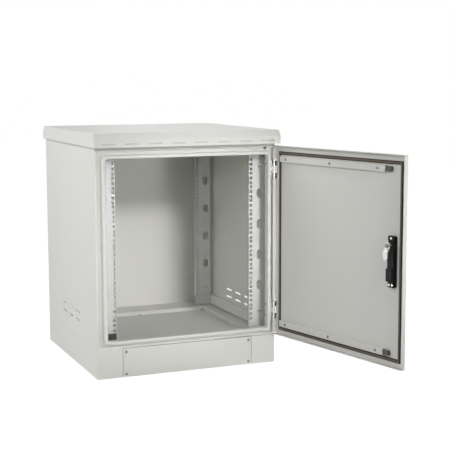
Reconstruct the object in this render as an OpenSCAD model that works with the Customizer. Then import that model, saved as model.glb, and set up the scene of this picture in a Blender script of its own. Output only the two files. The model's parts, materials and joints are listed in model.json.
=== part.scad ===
// Floor-standing outdoor cabinet with a rain roof, a right-hung door and four 19-inch rack rails.
// Origin on the floor under the middle of the body, front towards -Y, sizes in millimetres.

/* [Body] */
// Depth from the front edges to the rear wall
body_d = 600; // [480:5:800]
// Height of the base below the door
plinth_h = 94; // [70:1:180]
// Thickness of the body sheet
sheet_t = 1.5; // [1:0.1:2]
// Outer radius of the folded front edges
edge_r = 4.5; // [3:0.5:5]
// Width of the folded front flange of a side wall
flange_w = 6.5; // [6:0.5:8]

/* [Rack] */
// Clear width between the rack rails
rack_clear = 450; // [400:1:620]
// Width of a rail face
rail_w = 58.5; // [56:0.5:90]
// Height of the rack rails in rack units
rack_units = 12; // [8:1:20]
// Height of the rail ends above the base
rail_base = 39; // [30:1:80]
// Height from the rail tops to the top of the body
head_space = 49.6; // [46:0.2:120]
// Length of the rails past the outermost rack units
rail_end = 3; // [1:0.5:10]
// Distance of the front rails behind the front edges
rail_setback = 38; // [30:1:80]
// Distance of the rear rails in front of the rear wall
rear_setback = 81; // [50:1:150]
// Gap from the rails to the outer face of the side wall
rail_side = 16.5; // [12:0.5:120]
// Distance of the square holes from the inner rail edge
hole_in = 7.55; // [6.5:0.05:10]
// Thickness of the rail sheet
rail_t = 2; // [1.5:0.1:3]
// Depth of the inner return of a rail
rail_in_d = 12; // [6:1:30]
// Depth of the outer return of a rail
rail_out_d = 25; // [12:1:50]
// Width of the oval cable openings
oval_w = 22; // [12:1:24]
// Height of the oval cable openings
oval_h = 31; // [26:1:60]
// Distance of the oval openings from the outer rail edge
oval_in = 20; // [16:0.5:24]
// Spacing of the oval cable openings
oval_pitch = 100; // [70:5:150]
// Thickness of the rail feet
foot_t = 2; // [1.5:0.1:3]
// Length of a foot behind the rail
foot_lap = 30; // [15:1:60]
// Gap from the square holes to the part of a foot behind the rail
foot_gap = 2; // [0.5:0.5:6]
// Depth of the side wing of a foot
foot_d = 36; // [34:1:60]
// Thickness of the depth bars
bar_t = 1.5; // [1:0.1:3]

/* [Vents] */
// Length of the side wall vents
vent_l = 46; // [20:1:70]
// Height of the vent slots
vent_w = 5; // [3:0.5:8]
// Spacing of the side wall vents along the depth
vent_pitch = 79; // [75:1:100]
// Spacing of the two vent rows
vent_rise = 26; // [12:1:50]
// Height of the lower vent row above the base
vent_z = 54.5; // [20:0.5:120]

/* [Front frame] */
// Distance from the body side to the rim
rim_side = 20.5; // [18:0.5:40]
// Distance from the top of the base to the rim
rim_bottom = 15; // [12:0.5:30]
// Distance from the top of the body to the rim
rim_top = 30; // [26:0.5:60]
// Width of the raised rim
rim_w = 11; // [8:0.5:16]
// Outer corner radius of the rim
rim_r = 17; // [17:0.5:30]
// Height of the rim in front of the body edges
rim_front = 16; // [12:0.5:17]
// Rounding along the front of the rim
rim_edge_r = 3.5; // [2:0.5:4]
// Depth of the rain gutter behind the body edges
gutter_d = 6; // [3:0.5:10]
// Height of the strip under the gutter
gutter_bottom = 6; // [4:0.5:8]
// Height of the strip over the gutter
gutter_top = 18; // [10:0.5:20]

/* [Floor] */
// Width of the floor at each side of the recess
floor_side = 55; // [45:1:120]
// Depth of the floor in front of the recess
floor_front = 62; // [50:1:150]
// Depth of the floor behind the recess
floor_rear = 102; // [90:1:250]
// Depth of the recess for the gland plate
recess_d = 14; // [8:1:30]
// Width of the lip that carries the gland plate
lip_w = 16; // [14:1:40]
// Thickness of the gland plate
gland_t = 2; // [1:0.5:4]
// Distance of the earth stud from the side of the recess
earth_in = 62; // [10:1:150]

/* [Base] */
// Distance of the base cover from the body sides
cover_side = 83; // [60:1:150]
// Gap round the base cover
cover_gap = 1.5; // [0.5:0.5:4]
// Width of the floor flange inside the base
base_w = 45; // [40:1:80]
// Thickness of the floor flange
base_t = 3; // [2:0.5:6]
// Diameter of the anchor holes
anchor_d = 13; // [8:0.5:18]
// Distance of the anchor holes from the body faces
anchor_in = 28; // [24:1:30]

/* [Roof] */
// Overhang of the roof at the sides and the rear
roof_over = 7; // [4:0.5:30]
// Overhang of the roof at the front
roof_front = 26; // [25:0.5:60]
// Overlap of the roof skirt below the top of the body
roof_lap = 6.4; // [2:0.2:10]
// Height of the upright roof skirt
fascia_h = 24; // [20:0.5:50]
// Height of the sloped front and rear folds
slope_h = 18.8; // [10:0.2:40]
// Depth of the sloped folds
slope_d = 13.5; // [6:0.5:40]
// Outer radius of the front and rear bends
bend_r = 4; // [3:0.5:6]
// Thickness of the roof sheet
roof_t = 1.5; // [1:0.1:2.5]
// Length of the roof vents
roof_vent_l = 45; // [20:1:60]
// Spacing of the roof vents
roof_vent_pitch = 75; // [65:1:90]
// Height of the roof vents above the skirt edge
roof_vent_z = 10; // [6:0.5:14]

/* [Door] */
// Gap between the body edges and the door
door_gap = 7; // [6:0.5:8]
// Distance of the door edge inside the body side
door_edge = 2.5; // [1:0.5:4]
// Gap under the door
door_bottom = 1.5; // [1:0.5:5]
// Distance from the top of the body to the door
door_top = 13; // [9:0.5:20]
// Depth of the folded door tray
door_d = 16; // [15:0.5:24]
// Thickness of the door sheet
door_t = 1.5; // [1:0.1:2]
// Outer radius of the door folds
door_r = 3; // [2.5:0.5:5]
// Angle at which the door stands open
door_open = 102.9; // [0:0.1:110]
// Width of the foam gasket
gasket_w = 10; // [8:0.5:14]
// Gap between the closed gasket and the rim
gasket_gap = 0.3; // [0.2:0.1:1]

/* [Door rails] */
// Height of the stiffening rails on the door
door_rail_h = 19; // [14:1:40]
// Height of the stiffening rails above the door sheet
door_rail_d = 10; // [6:0.5:14]
// Gap between the gasket and a stiffening rail
door_rail_gap = 4; // [2:0.5:20]
// Shortfall of a stiffening rail at the free side
door_rail_short = 56; // [42:1:120]
// Distance of the outer screws from the ends of a stiffening rail
door_screw_in = 30; // [12:1:120]

/* [Hinges] */
// Distance of the hinge axis from the door edge
hinge_inset = 4.5; // [4.5:0.1:5]
// Distance of the hinge axis in front of the door tray edge
hinge_fwd = 2; // [1.8:0.1:2.4]
// Height of the lower hinge above the base
hinge_low = 82; // [60:1:200]
// Distance of the upper hinge below the top of the body
hinge_high = 89.5; // [70:0.5:200]
// Height of a hinge
hinge_h = 58; // [56:1:80]
// Height of the middle knuckle
knuckle_h = 22; // [10:1:24]
// Outer radius of the hinge knuckles
knuckle_r = 4.5; // [4:0.1:4.5]
// Radius of the hinge pins
pin_r = 2.5; // [2:0.1:2.8]
// Running clearance of pins and shafts
run_gap = 0.05; // [0.02:0.01:0.1]

/* [Handle] */
// Gap between the gasket and the handle base
lock_gap = 11; // [4:0.5:20]
// Length of the handle base
lock_l = 149; // [125:1:180]
// Width of the handle base
lock_w = 32; // [30:0.5:32]
// Distance of the spindle from the top of the handle base
spindle_in = 26.3; // [26.3:0.5:38.3]
// Distance of the lock plug from the bottom of the handle base
plug_in = 36.5; // [34:0.5:40]
// Radius of the spindle
spindle_r = 8; // [6:0.5:9]
// Radius of the lock plug
plug_r = 5; // [3.5:0.5:5.5]
// Length of the swing lever past the lock plug
lever_tail = 34; // [16:1:40]
// Width of the swing lever
lever_w = 22; // [22:0.5:26]
// Thickness of the swing lever at its pin
lever_t = 11.5; // [10:0.5:13]
// Thickness of the swing lever at its tip
tip_t = 9; // [7:0.5:10]
// Angle at which the lever stands out
lever_out = 30; // [0:1:40]
// Angle of the handle from its locked place
handle_turn = 90; // [0:1:90]
// Length of the cam from the spindle
cam_l = 42; // [34:1:46]
// Width of the cam
cam_w = 18; // [14:0.5:22]
// Thickness of the cam
cam_t = 3; // [2:0.5:4]
// Offset of the cranked cam tip from the spindle end
cam_crank = 8; // [4:0.5:9]

/* [Hidden] */
$fn = 48;
unit_h = 44.45;
hole_s = 9.5;
hole_steps = [6.35, 22.225, 38.1];
eps = 1;

body_w = rack_clear + 2 * (rail_w + rail_side);
half_w = body_w / 2;
front_y = -body_d / 2;
rear_y = body_d / 2;
rail_l = rack_units * unit_h + 2 * rail_end;
rail_z0 = plinth_h + rail_base;
rail_z1 = rail_z0 + rail_l;
body_top = rail_z1 + head_space;
inner_x = half_w - sheet_t;
inner_y = rear_y - sheet_t;
floor_z = plinth_h + sheet_t;
ceiling_z = body_top - sheet_t;

rim_x = half_w - rim_side;
rim_z0 = plinth_h + rim_bottom;
rim_z1 = body_top - rim_top;
rim_size = [2 * rim_x, rim_z1 - rim_z0];
rim_mid = (rim_z0 + rim_z1) / 2;
rim_y = front_y - rim_front;
gutter_y = front_y + gutter_d;
frame_y = gutter_y + sheet_t;
gutter_x = half_w - flange_w - sheet_t;
gutter_z0 = plinth_h + gutter_bottom;
gutter_z1 = body_top - gutter_top;
gutter_r = 8;
gutter_mid = (gutter_z0 + gutter_z1) / 2;
drain_w = 7;
drain_h = 8;

rail_x0 = rack_clear / 2;
rail_x1 = rail_x0 + rail_w;
hole_x = rail_x0 + hole_in;
rail_y = front_y + rail_setback;
rear_rail_y = rear_y - rear_setback;
oval_x = rail_x1 - oval_in;
oval_n = floor((rail_l - oval_h) / oval_pitch) + 1;
foot_clear = 4;
foot_lap_x = hole_x + hole_s / 2 + foot_gap;
bolt_r = 3;
bolt_gap = 0.25;
bolt_af = 10;
bolt_head = 4;
foot_bolts = [14, 28];
foot_bolt_zs = [(floor_z + foot_clear + rail_z0) / 2, (rail_z1 + ceiling_z - foot_clear) / 2];

recess_x = half_w - floor_side;
recess_y0 = front_y + floor_front;
recess_y1 = rear_y - floor_rear;
recess_z = plinth_h - recess_d;
earth_x = -recess_x + earth_in;
earth_y = front_y + floor_front / 2;
earth_up = 20;
earth_down = 7;
earth_nut = 5;
gland_gap = 1;
gland_z = recess_z + sheet_t + gland_t;
gland_screw_r = 2.5;
gland_cols = 3;

base_seam = 1.2;
seam_d = 0.6;
cover_x = half_w - cover_side;
cover_lap = 20;
cover_sill = 14;
cover_head = 20;
cover_screw_x = cover_x - 10;
cover_screw_z = [10, plinth_h - 13.5];
cover_screw_r = 2;
screw_gap = 0.15;

roof_x = half_w + roof_over;
roof_y0 = front_y - roof_front;
roof_y1 = rear_y + roof_over;
roof_z0 = body_top - roof_lap;
roof_z1 = roof_z0 + fascia_h;
roof_top = roof_z1 + slope_h;
roof_vent_edge = 10;
roof_vents = floor((body_w - 2 * roof_vent_edge - roof_vent_l) / roof_vent_pitch) + 1;
slope_a = atan2(slope_d, slope_h);
bend_low = [roof_y0 + bend_r, roof_z1 - bend_r * tan(slope_a / 2)];
bend_high = [roof_y0 + slope_d + bend_r * tan(45 - slope_a / 2), roof_top - bend_r];
baffle_gap = 4;
baffle_end = 3;
baffle_fix = 5;
roof_fix_in = 70;
roof_fix_x = half_w - roof_fix_in;
roof_fix_y = rear_y - roof_fix_in;
roof_boss_r = 8;
roof_boss_h = 12;
spacer_r = 10;
roof_bolt_r = 4;
roof_bolt_end = 2;

door_x = half_w - door_edge;
lip_y = front_y - door_gap;
door_y = lip_y - door_d;
skin_y = door_y + door_t;
door_z0 = plinth_h + door_bottom;
door_z1 = body_top - door_top;
door_mid = (door_z0 + door_z1) / 2;
gasket_h = rim_y - skin_y - gasket_gap;
gasket_r = 4;
gasket_out_x = 1.5;
gasket_out_z = -1.5;
gasket_size = [rim_size[0] + 2 * gasket_out_x, rim_size[1] + 2 * gasket_out_z];
gasket_in_x = gasket_size[0] / 2 - gasket_w;
gasket_in_z0 = rim_mid - gasket_size[1] / 2 + gasket_w;
gasket_in_z1 = rim_mid + gasket_size[1] / 2 - gasket_w;
door_rail_x1 = gasket_in_x - 3.5;
door_rail_x0 = -gasket_in_x + door_rail_short;
door_rail_cx = (door_rail_x0 + door_rail_x1) / 2;
door_rail_z0 = gasket_in_z0 + door_rail_gap;
door_rail_z1 = gasket_in_z1 - door_rail_gap - door_rail_h;
door_screw_r = 2.5;
door_screw_pitch = (door_rail_x1 - door_rail_x0) / 2 - door_screw_in;
block_l = 22;
block_h = 14;
block_d = 9;

hinge_x = door_x - hinge_inset;
hinge_y = lip_y - hinge_fwd;
hinge_zs = [plinth_h + hinge_low, body_top - hinge_high];
hinge_gap = 0.4;
leaf_t = 3;
arm_y0 = hinge_y + 1.5;
leaf_y0 = rim_y + rim_edge_r;
leaf_y1 = gutter_y;
hinge_bolt_r = 2.5;
hinge_bolt_y = (leaf_y0 + leaf_y1) / 2;
hinge_bolt_z = hinge_h / 2 - 11;
hinge_bolt_h = 3.5;

lock_x = -(gasket_in_x - lock_gap - lock_w / 2);
lock_rim = 4;
lock_r = 10;
case_w = 24;
lock_ear = 14.5;
case_l = lock_l - 2 * lock_ear;
case_r = 6;
case_y = skin_y + 12;
case_gap = 0.2;
plate_y = skin_y + 3;
flange_y = door_y - lock_rim;
spindle_z = door_mid + lock_l / 2 - spindle_in;
plug_z = door_mid - lock_l / 2 + plug_in;
lever_l = spindle_z - plug_z + lever_tail;
sleeve_r = spindle_r + 3.5;
cam_tip_y = frame_y + 0.7;
cam_y = cam_tip_y - cam_crank;
cam_bend = 10;
sleeve_y = cam_y - 6;
plug_boss_r = plug_r + 2.2;
plug_boss_h = 6;
lever_gap = 0.4;
lever_y = flange_y - lever_gap;
pin_y = lever_y - lever_t / 2;
lever_pin_r = 2;
fork_w = 12;
fork_gap = 0.4;
slot_l = 13;
tenon = 9;
cam_bolt_r = 3;
box_w = 23;
box_h = 37;
box_d = 6;
lock_screw_r = 2;
lock_screw_up = (lock_l - lock_ear) / 2;
lock_screw_places = [[0, door_mid + lock_screw_up], [-6, door_mid - lock_screw_up], [6, door_mid - lock_screw_up]];
pad_d = 7;

grey = [0.84, 0.84, 0.82];
zinc = [0.78, 0.79, 0.80];
dark = [0.22, 0.22, 0.21];
black = [0.08, 0.08, 0.08];

// Extrudes an outline drawn in X and Z along Y
module along_y(y0, y1) {
    translate([0, y1, 0]) rotate([90, 0, 0]) linear_extrude(y1 - y0) children();
}

// Extrudes an outline drawn in Y and Z along X
module along_x(x0, x1) {
    translate([x0, 0, 0]) rotate([90, 0, 90]) linear_extrude(x1 - x0) children();
}

// Box from its lowest to its highest corner
module block(a, b) {
    translate(a) cube(b - a);
}

// Rod along Y
module rod_y(x, z, r, y0, y1) {
    translate([x, y1, z]) rotate([90, 0, 0]) cylinder(r = r, h = y1 - y0);
}

// Rod along X
module rod_x(y, z, r, x0, x1) {
    translate([x0, y, z]) rotate([0, 90, 0]) cylinder(r = r, h = x1 - x0);
}

// Outline of a rectangle with round corners
module round_rect(w, h, r) {
    square([w - 2 * r, h], center = true);
    square([w, h - 2 * r], center = true);
    for (sx = [-1, 1], sy = [-1, 1])
        translate([sx * (w / 2 - r), sy * (h / 2 - r)]) circle(r);
}

// Outline of a slot with round ends
module slot(l, w) {
    square([l - w, w], center = true);
    for (s = [-1, 1])
        translate([s * (l - w) / 2, 0]) circle(w / 2);
}

// Carries a profile of outward distance and depth round a rectangle with round corners
module around_rect(size, r) {
    for (s = [[0, size], [-90, [size[1], size[0]]], [180, size], [90, [size[1], size[0]]]])
        rotate([0, s[0], 0])
            translate([s[1][0] / 2, 0, r - s[1][1] / 2]) linear_extrude(s[1][1] - 2 * r) children();
    for (c = [[0, 1, -1], [90, -1, -1], [180, -1, 1], [270, 1, 1]])
        translate([c[1] * (size[0] / 2 - r), 0, c[2] * (size[1] / 2 - r)])
            rotate([0, c[0], 0]) rotate([-90, 0, 0]) rotate_extrude(angle = 90)
                translate([r, 0]) children();
}

// Hexagon bolt head or nut along X
module hex_x(y, z, af, x0, x1) {
    translate([x0, y, z]) rotate([0, 90, 0]) cylinder(d = af / cos(30), h = x1 - x0, $fn = 6);
}

// Hexagon bolt head or nut along Z
module hex_z(x, y, af, z0, z1) {
    translate([x, y, z0]) cylinder(d = af / cos(30), h = z1 - z0, $fn = 6);
}

// Turns the closed door to its open place
module at_door() {
    translate([hinge_x, hinge_y, 0]) rotate([0, 0, door_open]) translate([-hinge_x, -hinge_y, 0]) children();
}

// Turns the locked handle to its rest place on the open door
module at_handle() {
    at_door() translate([lock_x, 0, spindle_z]) rotate([0, -handle_turn, 0])
        translate([-lock_x, 0, -spindle_z]) children();
}

// Swings the flat lever out to its rest place
module at_lever() {
    at_handle() translate([0, pin_y, spindle_z]) rotate([-lever_out, 0, 0])
        translate([0, -pin_y, -spindle_z]) children();
}

// Right side wall in plan, with its folded front edge
module wall_outline() {
    translate([inner_x, front_y + edge_r]) square([sheet_t, body_d - edge_r]);
    translate([half_w - flange_w, front_y]) square([flange_w - edge_r, sheet_t]);
    translate([half_w - edge_r, front_y + edge_r]) intersection() {
        difference() {
            circle(edge_r);
            circle(edge_r - sheet_t);
        }
        translate([0, -edge_r]) square(edge_r);
    }
}

module side_wall() {
    difference() {
        linear_extrude(body_top) wall_outline();
        for (column = [-1, 0, 1], row = [0, 1])
            along_x(inner_x - eps, half_w + eps)
                translate([column * vent_pitch, plinth_h + vent_z + row * vent_rise]) slot(vent_l, vent_w);
        block([half_w - seam_d, front_y - eps, plinth_h - base_seam], [half_w + eps, rear_y + eps, plinth_h]);
        block([half_w - flange_w - eps, front_y - eps, plinth_h - base_seam],
            [half_w - edge_r + eps, front_y + seam_d, plinth_h]);
    }
}

module left_side_wall() {
    color(grey) mirror([1, 0, 0]) side_wall();
}

module right_side_wall() {
    color(grey) side_wall();
}

module rear_wall() {
    color(grey) difference() {
        block([-inner_x, inner_y, 0], [inner_x, rear_y, body_top]);
        block([-inner_x - eps, rear_y - seam_d, plinth_h - base_seam], [inner_x + eps, rear_y + eps, plinth_h]);
    }
}

// Plan of a plate that fills the body between its walls and folded front edges
module deck_outline() {
    translate([-inner_x, front_y + edge_r]) square([2 * inner_x, inner_y - front_y - edge_r]);
    translate([flange_w - half_w, front_y + sheet_t])
        square([body_w - 2 * flange_w, edge_r]);
}

// Section of the hollow rim, outer face at zero
module rim_outline(inset) {
    r = rim_edge_r - inset;
    back = inset > 0 ? frame_y + eps : frame_y;
    translate([inset - rim_w, rim_y + rim_edge_r]) square([rim_w - 2 * inset, back - rim_y - rim_edge_r]);
    translate([rim_edge_r - rim_w, rim_y + inset]) square([rim_w - 2 * rim_edge_r, rim_edge_r]);
    for (x = [rim_edge_r - rim_w, -rim_edge_r])
        translate([x, rim_y + rim_edge_r]) circle(r);
}

// Outline of the gutter's outer wall, grown by a wall thickness
module gutter_outline(grow) {
    translate([0, gutter_mid])
        round_rect(2 * (gutter_x + grow), gutter_z1 - gutter_z0 + 2 * grow, gutter_r + grow);
}

// Places of the hinge bolts in Y and Z
module at_hinge_bolts() {
    for (z = hinge_zs, s = [-1, 1])
        translate([0, hinge_bolt_y, z + s * hinge_bolt_z]) children();
}

module front_frame() {
    face_x = half_w - flange_w;
    color(grey) {
        difference() {
            translate([0, 0, rim_mid]) around_rect(rim_size, rim_r) difference() {
                rim_outline(0);
                rim_outline(sheet_t);
            }
            at_hinge_bolts() rod_x(0, 0, hinge_bolt_r + screw_gap, rim_x - rim_w - eps, rim_x + eps);
        }
        difference() {
            along_y(gutter_y, frame_y) difference() {
                gutter_outline(0);
                translate([0, rim_mid]) round_rect(rim_size[0], rim_size[1], rim_r);
            }
            block([rim_x - rim_r, gutter_y - eps, gutter_z1 - drain_h],
                [rim_x - rim_r + drain_w, frame_y + eps, gutter_z1]);
        }
        along_y(front_y, frame_y) difference() {
            gutter_outline(sheet_t);
            gutter_outline(0);
        }
        along_y(front_y, front_y + sheet_t) difference() {
            translate([-face_x, plinth_h]) square([2 * face_x, body_top - plinth_h]);
            gutter_outline(0);
        }
    }
}

module ceiling_plate() {
    color(grey) difference() {
        translate([0, 0, ceiling_z]) linear_extrude(sheet_t) deck_outline();
        for (column = [-1, 0, 1], row = [-1, 1])
            translate([column * vent_pitch, row * vent_rise, ceiling_z - eps])
                linear_extrude(sheet_t + 2 * eps) slot(vent_l, vent_w);
        for (sx = [-1, 1], sy = [-1, 1])
            translate([sx * roof_fix_x, sy * roof_fix_y, ceiling_z - eps])
                cylinder(r = roof_bolt_r + bolt_gap, h = sheet_t + 2 * eps);
    }
}

// Plan of the floor recess, grown or shrunk by a margin
module recess_outline(grow) {
    translate([-recess_x - grow, recess_y0 - grow])
        square([2 * (recess_x + grow), recess_y1 - recess_y0 + 2 * grow]);
}

// Places of the gland plate screws on the middle of the lip
module at_gland_screws() {
    sx = recess_x - lip_w / 2;
    y0 = recess_y0 + lip_w / 2;
    y1 = recess_y1 - lip_w / 2;
    for (column = [0 : gland_cols - 1], y = [y0, y1])
        translate([sx * (2 * column / (gland_cols - 1) - 1), y]) children();
}

module floor_frame() {
    color(grey) difference() {
        union() {
            translate([0, 0, plinth_h]) linear_extrude(sheet_t) difference() {
                deck_outline();
                recess_outline(0);
            }
            translate([0, 0, recess_z]) linear_extrude(recess_d) difference() {
                recess_outline(sheet_t);
                recess_outline(0);
            }
            translate([0, 0, recess_z]) linear_extrude(sheet_t) difference() {
                recess_outline(sheet_t);
                recess_outline(-lip_w);
            }
        }
        at_gland_screws() translate([0, 0, recess_z - eps])
            cylinder(r = gland_screw_r + screw_gap, h = sheet_t + 2 * eps);
        translate([earth_x, earth_y, plinth_h - eps])
            cylinder(r = bolt_r + bolt_gap, h = sheet_t + 2 * eps);
    }
}

module gland_plate() {
    color(grey) difference() {
        translate([0, 0, recess_z + sheet_t]) linear_extrude(gland_t) recess_outline(-gland_gap);
        at_gland_screws() translate([0, 0, recess_z])
            cylinder(r = gland_screw_r + screw_gap, h = sheet_t + gland_t + eps);
    }
}

module gland_plate_screws() {
    color(zinc) at_gland_screws() {
        translate([0, 0, gland_z]) cylinder(r = 2 * gland_screw_r, h = 2.5);
        translate([0, 0, recess_z - 4]) cylinder(r = gland_screw_r, h = gland_z - recess_z + 4 + eps);
    }
}

module base_flange() {
    color(grey) difference() {
        linear_extrude(base_t) difference() {
            deck_outline();
            translate([base_w - half_w, front_y + base_w]) square([body_w - 2 * base_w, body_d - 2 * base_w]);
        }
        for (sx = [-1, 1], sy = [-1, 1])
            translate([sx * (half_w - anchor_in), sy * (rear_y - anchor_in), -eps])
                cylinder(d = anchor_d, h = base_t + 2 * eps);
    }
}

// Places of the four base cover screws in X and Z
module at_cover_screws() {
    for (sx = [-1, 1], z = cover_screw_z)
        translate([sx * cover_screw_x, 0, z]) children();
}

module base_front_frame() {
    top = plinth_h - base_seam;
    color(grey) difference() {
        union() {
            for (m = [0, 1])
                mirror([m, 0, 0])
                    block([cover_x + cover_gap, front_y, 0], [half_w - flange_w, front_y + sheet_t, top]);
            along_y(front_y + sheet_t, front_y + 2 * sheet_t) difference() {
                translate([-cover_x - cover_lap, base_t]) square([2 * (cover_x + cover_lap), top - base_t]);
                translate([cover_lap - cover_x, base_t + cover_sill])
                    square([2 * (cover_x - cover_lap), top - base_t - cover_sill - cover_head]);
            }
        }
        at_cover_screws() rod_y(0, 0, cover_screw_r + screw_gap, front_y - eps, front_y + 2 * sheet_t + eps);
    }
}

module base_cover() {
    color(grey) difference() {
        block([-cover_x, front_y, cover_gap], [cover_x, front_y + sheet_t, plinth_h - base_seam - cover_gap]);
        at_cover_screws() rod_y(0, 0, cover_screw_r + screw_gap, front_y - eps, front_y + sheet_t + eps);
    }
}

module base_cover_screws() {
    color(zinc) at_cover_screws() {
        rod_y(0, 0, 2.2 * cover_screw_r, front_y - 2.4, front_y);
        rod_y(0, 0, cover_screw_r, front_y - eps, front_y + 2 * sheet_t + 4);
    }
}

// Places of the four roof fixings
module at_roof_fixings() {
    for (sx = [-1, 1], sy = [-1, 1])
        translate([sx * roof_fix_x, sy * roof_fix_y, 0]) children();
}

// Side view of the roof from a height up, with rounded bends, shrunk by an inset
module roof_outline(inset, z0) {
    r = bend_r - inset;
    n = [-cos(slope_a), sin(slope_a)];
    front = [[bend_low[0] - r, z0], bend_low - [r, 0], bend_low + r * n, bend_high + r * n, bend_high + [0, r]];
    rear = [for (i = [4 : -1 : 0]) [roof_y0 + roof_y1 - front[i][0], front[i][1]]];
    polygon(concat(front, rear));
    for (c = [bend_low, bend_high], y = [c[0], roof_y0 + roof_y1 - c[0]])
        translate([y, c[1]]) circle(r);
}

module roof_hood() {
    boss_z = roof_top - roof_t - roof_boss_h;
    color(grey) difference() {
        union() {
            difference() {
                along_x(-roof_x, roof_x) roof_outline(0, roof_z0);
                along_x(roof_t - roof_x, roof_x - roof_t) roof_outline(roof_t, roof_z0 - eps);
            }
            at_roof_fixings() translate([0, 0, boss_z]) cylinder(r = roof_boss_r, h = roof_boss_h + roof_t / 2);
        }
        for (i = [0 : roof_vents - 1])
            along_y(roof_y0 - eps, roof_y0 + roof_t + eps)
                translate([(i - (roof_vents - 1) / 2) * roof_vent_pitch, roof_z0 + roof_vent_z])
                    slot(roof_vent_l, vent_w);
        at_roof_fixings() translate([0, 0, boss_z - eps]) cylinder(r = roof_bolt_r + run_gap, h = roof_boss_h);
    }
}

// Strip behind the roof vents that keeps the rain out and lets the air in below
module roof_baffle() {
    y0 = roof_y0 + roof_t;
    y1 = y0 + baffle_gap;
    z1 = roof_z0 + roof_vent_z + vent_w;
    color(grey) along_x(2 * roof_t - roof_x, roof_x - 2 * roof_t) {
        translate([y0, z1]) square([sheet_t, baffle_fix]);
        translate([y0, z1]) square([y1 + sheet_t - y0, sheet_t]);
        translate([y1, roof_z0 + baffle_end]) square([sheet_t, z1 - roof_z0 - baffle_end + sheet_t]);
    }
}

module roof_spacers() {
    top = roof_top - roof_t - roof_boss_h;
    color(zinc) at_roof_fixings() difference() {
        translate([0, 0, body_top]) cylinder(r = spacer_r, h = top - body_top);
        translate([0, 0, body_top - eps]) cylinder(r = roof_bolt_r + bolt_gap, h = top - body_top + 2 * eps);
    }
}

module roof_bolts() {
    color(zinc) at_roof_fixings() {
        hex_z(0, 0, 13, ceiling_z - 5.3, ceiling_z);
        translate([0, 0, ceiling_z - eps])
            cylinder(r = roof_bolt_r, h = roof_top - roof_t - roof_bolt_end - ceiling_z + eps);
    }
}

// Right-hand rack rail with its front face at Y zero
module rail() {
    difference() {
        translate([0, 0, rail_z0]) linear_extrude(rail_l) {
            translate([rail_x0, 0]) square([rail_x1 - rail_x0, rail_t]);
            translate([rail_x0, 0]) square([rail_t, rail_in_d]);
            translate([rail_x1 - rail_t, 0]) square([rail_t, rail_out_d]);
        }
        along_y(-eps, rail_t + eps) {
            for (u = [0 : rack_units - 1], step = hole_steps)
                translate([hole_x, rail_z0 + rail_end + u * unit_h + step]) square(hole_s, center = true);
            for (i = [0 : oval_n - 1])
                translate([oval_x, rail_z0 + rail_l / 2 + (i - (oval_n - 1) / 2) * oval_pitch])
                    rotate(90) slot(oval_h, oval_w);
        }
    }
}

module front_left_rail() {
    color(zinc) translate([0, rail_y, 0]) mirror([1, 0, 0]) rail();
}

module front_right_rail() {
    color(zinc) translate([0, rail_y, 0]) rail();
}

module rear_left_rail() {
    color(zinc) translate([0, rear_rail_y, 0]) mirror([1, 0, 0]) rail();
}

module rear_right_rail() {
    color(zinc) translate([0, rear_rail_y, 0]) rail();
}

// Copies a right-hand piece to the four rails
module at_rails() {
    for (y = [rail_y, rear_rail_y], m = [0, 1])
        translate([0, y, 0]) mirror([m, 0, 0]) children();
}

// Foot that stands from z0 to z1 at a depth bar and laps behind a rail up to lap_z0 and lap_z1
module rail_foot(z0, z1, lap_z0, lap_z1) {
    difference() {
        union() {
            block([rail_x0, rail_t, z0], [rail_x1 - rail_t, rail_t + foot_t, z1]);
            block([foot_lap_x, rail_t, lap_z0], [rail_x1 - rail_t, rail_t + foot_t, lap_z1]);
            block([rail_x1 - foot_t, rail_t, z0], [rail_x1, rail_t + foot_d, z1]);
        }
        for (y = foot_bolts)
            rod_x(y, (z0 + z1) / 2, bolt_r + bolt_gap, rail_x1 - foot_t - eps, rail_x1 + eps);
    }
}

// Right-hand foot under a rail with its front face at Y zero
module lower_foot() {
    z0 = floor_z + foot_clear;
    rail_foot(z0, rail_z0, z0, rail_z0 + foot_lap);
}

module front_left_foot() {
    color(dark) translate([0, rail_y, 0]) mirror([1, 0, 0]) lower_foot();
}

module lower_rail_feet() {
    color(zinc) {
        translate([0, rail_y, 0]) lower_foot();
        for (m = [0, 1])
            translate([0, rear_rail_y, 0]) mirror([m, 0, 0]) lower_foot();
    }
}

module upper_rail_feet() {
    z1 = ceiling_z - foot_clear;
    color(zinc) at_rails() rail_foot(rail_z1, z1, rail_z1 - foot_lap, z1);
}

module rail_foot_bolts() {
    inner = rail_x1 - foot_t;
    outer = rail_x1 + bar_t;
    color(zinc) at_rails() for (y = foot_bolts, z = foot_bolt_zs) {
        hex_x(y, z, bolt_af, inner - bolt_head, inner);
        rod_x(y, z, bolt_r, inner - eps, outer + eps);
        hex_x(y, z, bolt_af, outer, outer + bolt_head);
    }
}

// Channel bar between two heights, open towards the right side wall
module depth_bar(z0, z1, bolt_z) {
    difference() {
        block([rail_x1, rail_y, z0], [inner_x, inner_y, z1]);
        block([rail_x1 + bar_t, rail_y - eps, z0 + bar_t], [inner_x + eps, inner_y + eps, z1 - bar_t]);
        for (y = [rail_y, rear_rail_y], step = foot_bolts)
            rod_x(y + step, bolt_z, bolt_r + bolt_gap, rail_x1 - eps, rail_x1 + bar_t + eps);
    }
}

module lower_left_bar() {
    color(grey) mirror([1, 0, 0]) depth_bar(floor_z + foot_clear, rail_z0, foot_bolt_zs[0]);
}

module lower_right_bar() {
    color(grey) depth_bar(floor_z + foot_clear, rail_z0, foot_bolt_zs[0]);
}

module upper_left_bar() {
    color(grey) mirror([1, 0, 0]) depth_bar(rail_z1, ceiling_z, foot_bolt_zs[1]);
}

module upper_right_bar() {
    color(grey) depth_bar(rail_z1, ceiling_z, foot_bolt_zs[1]);
}

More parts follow.
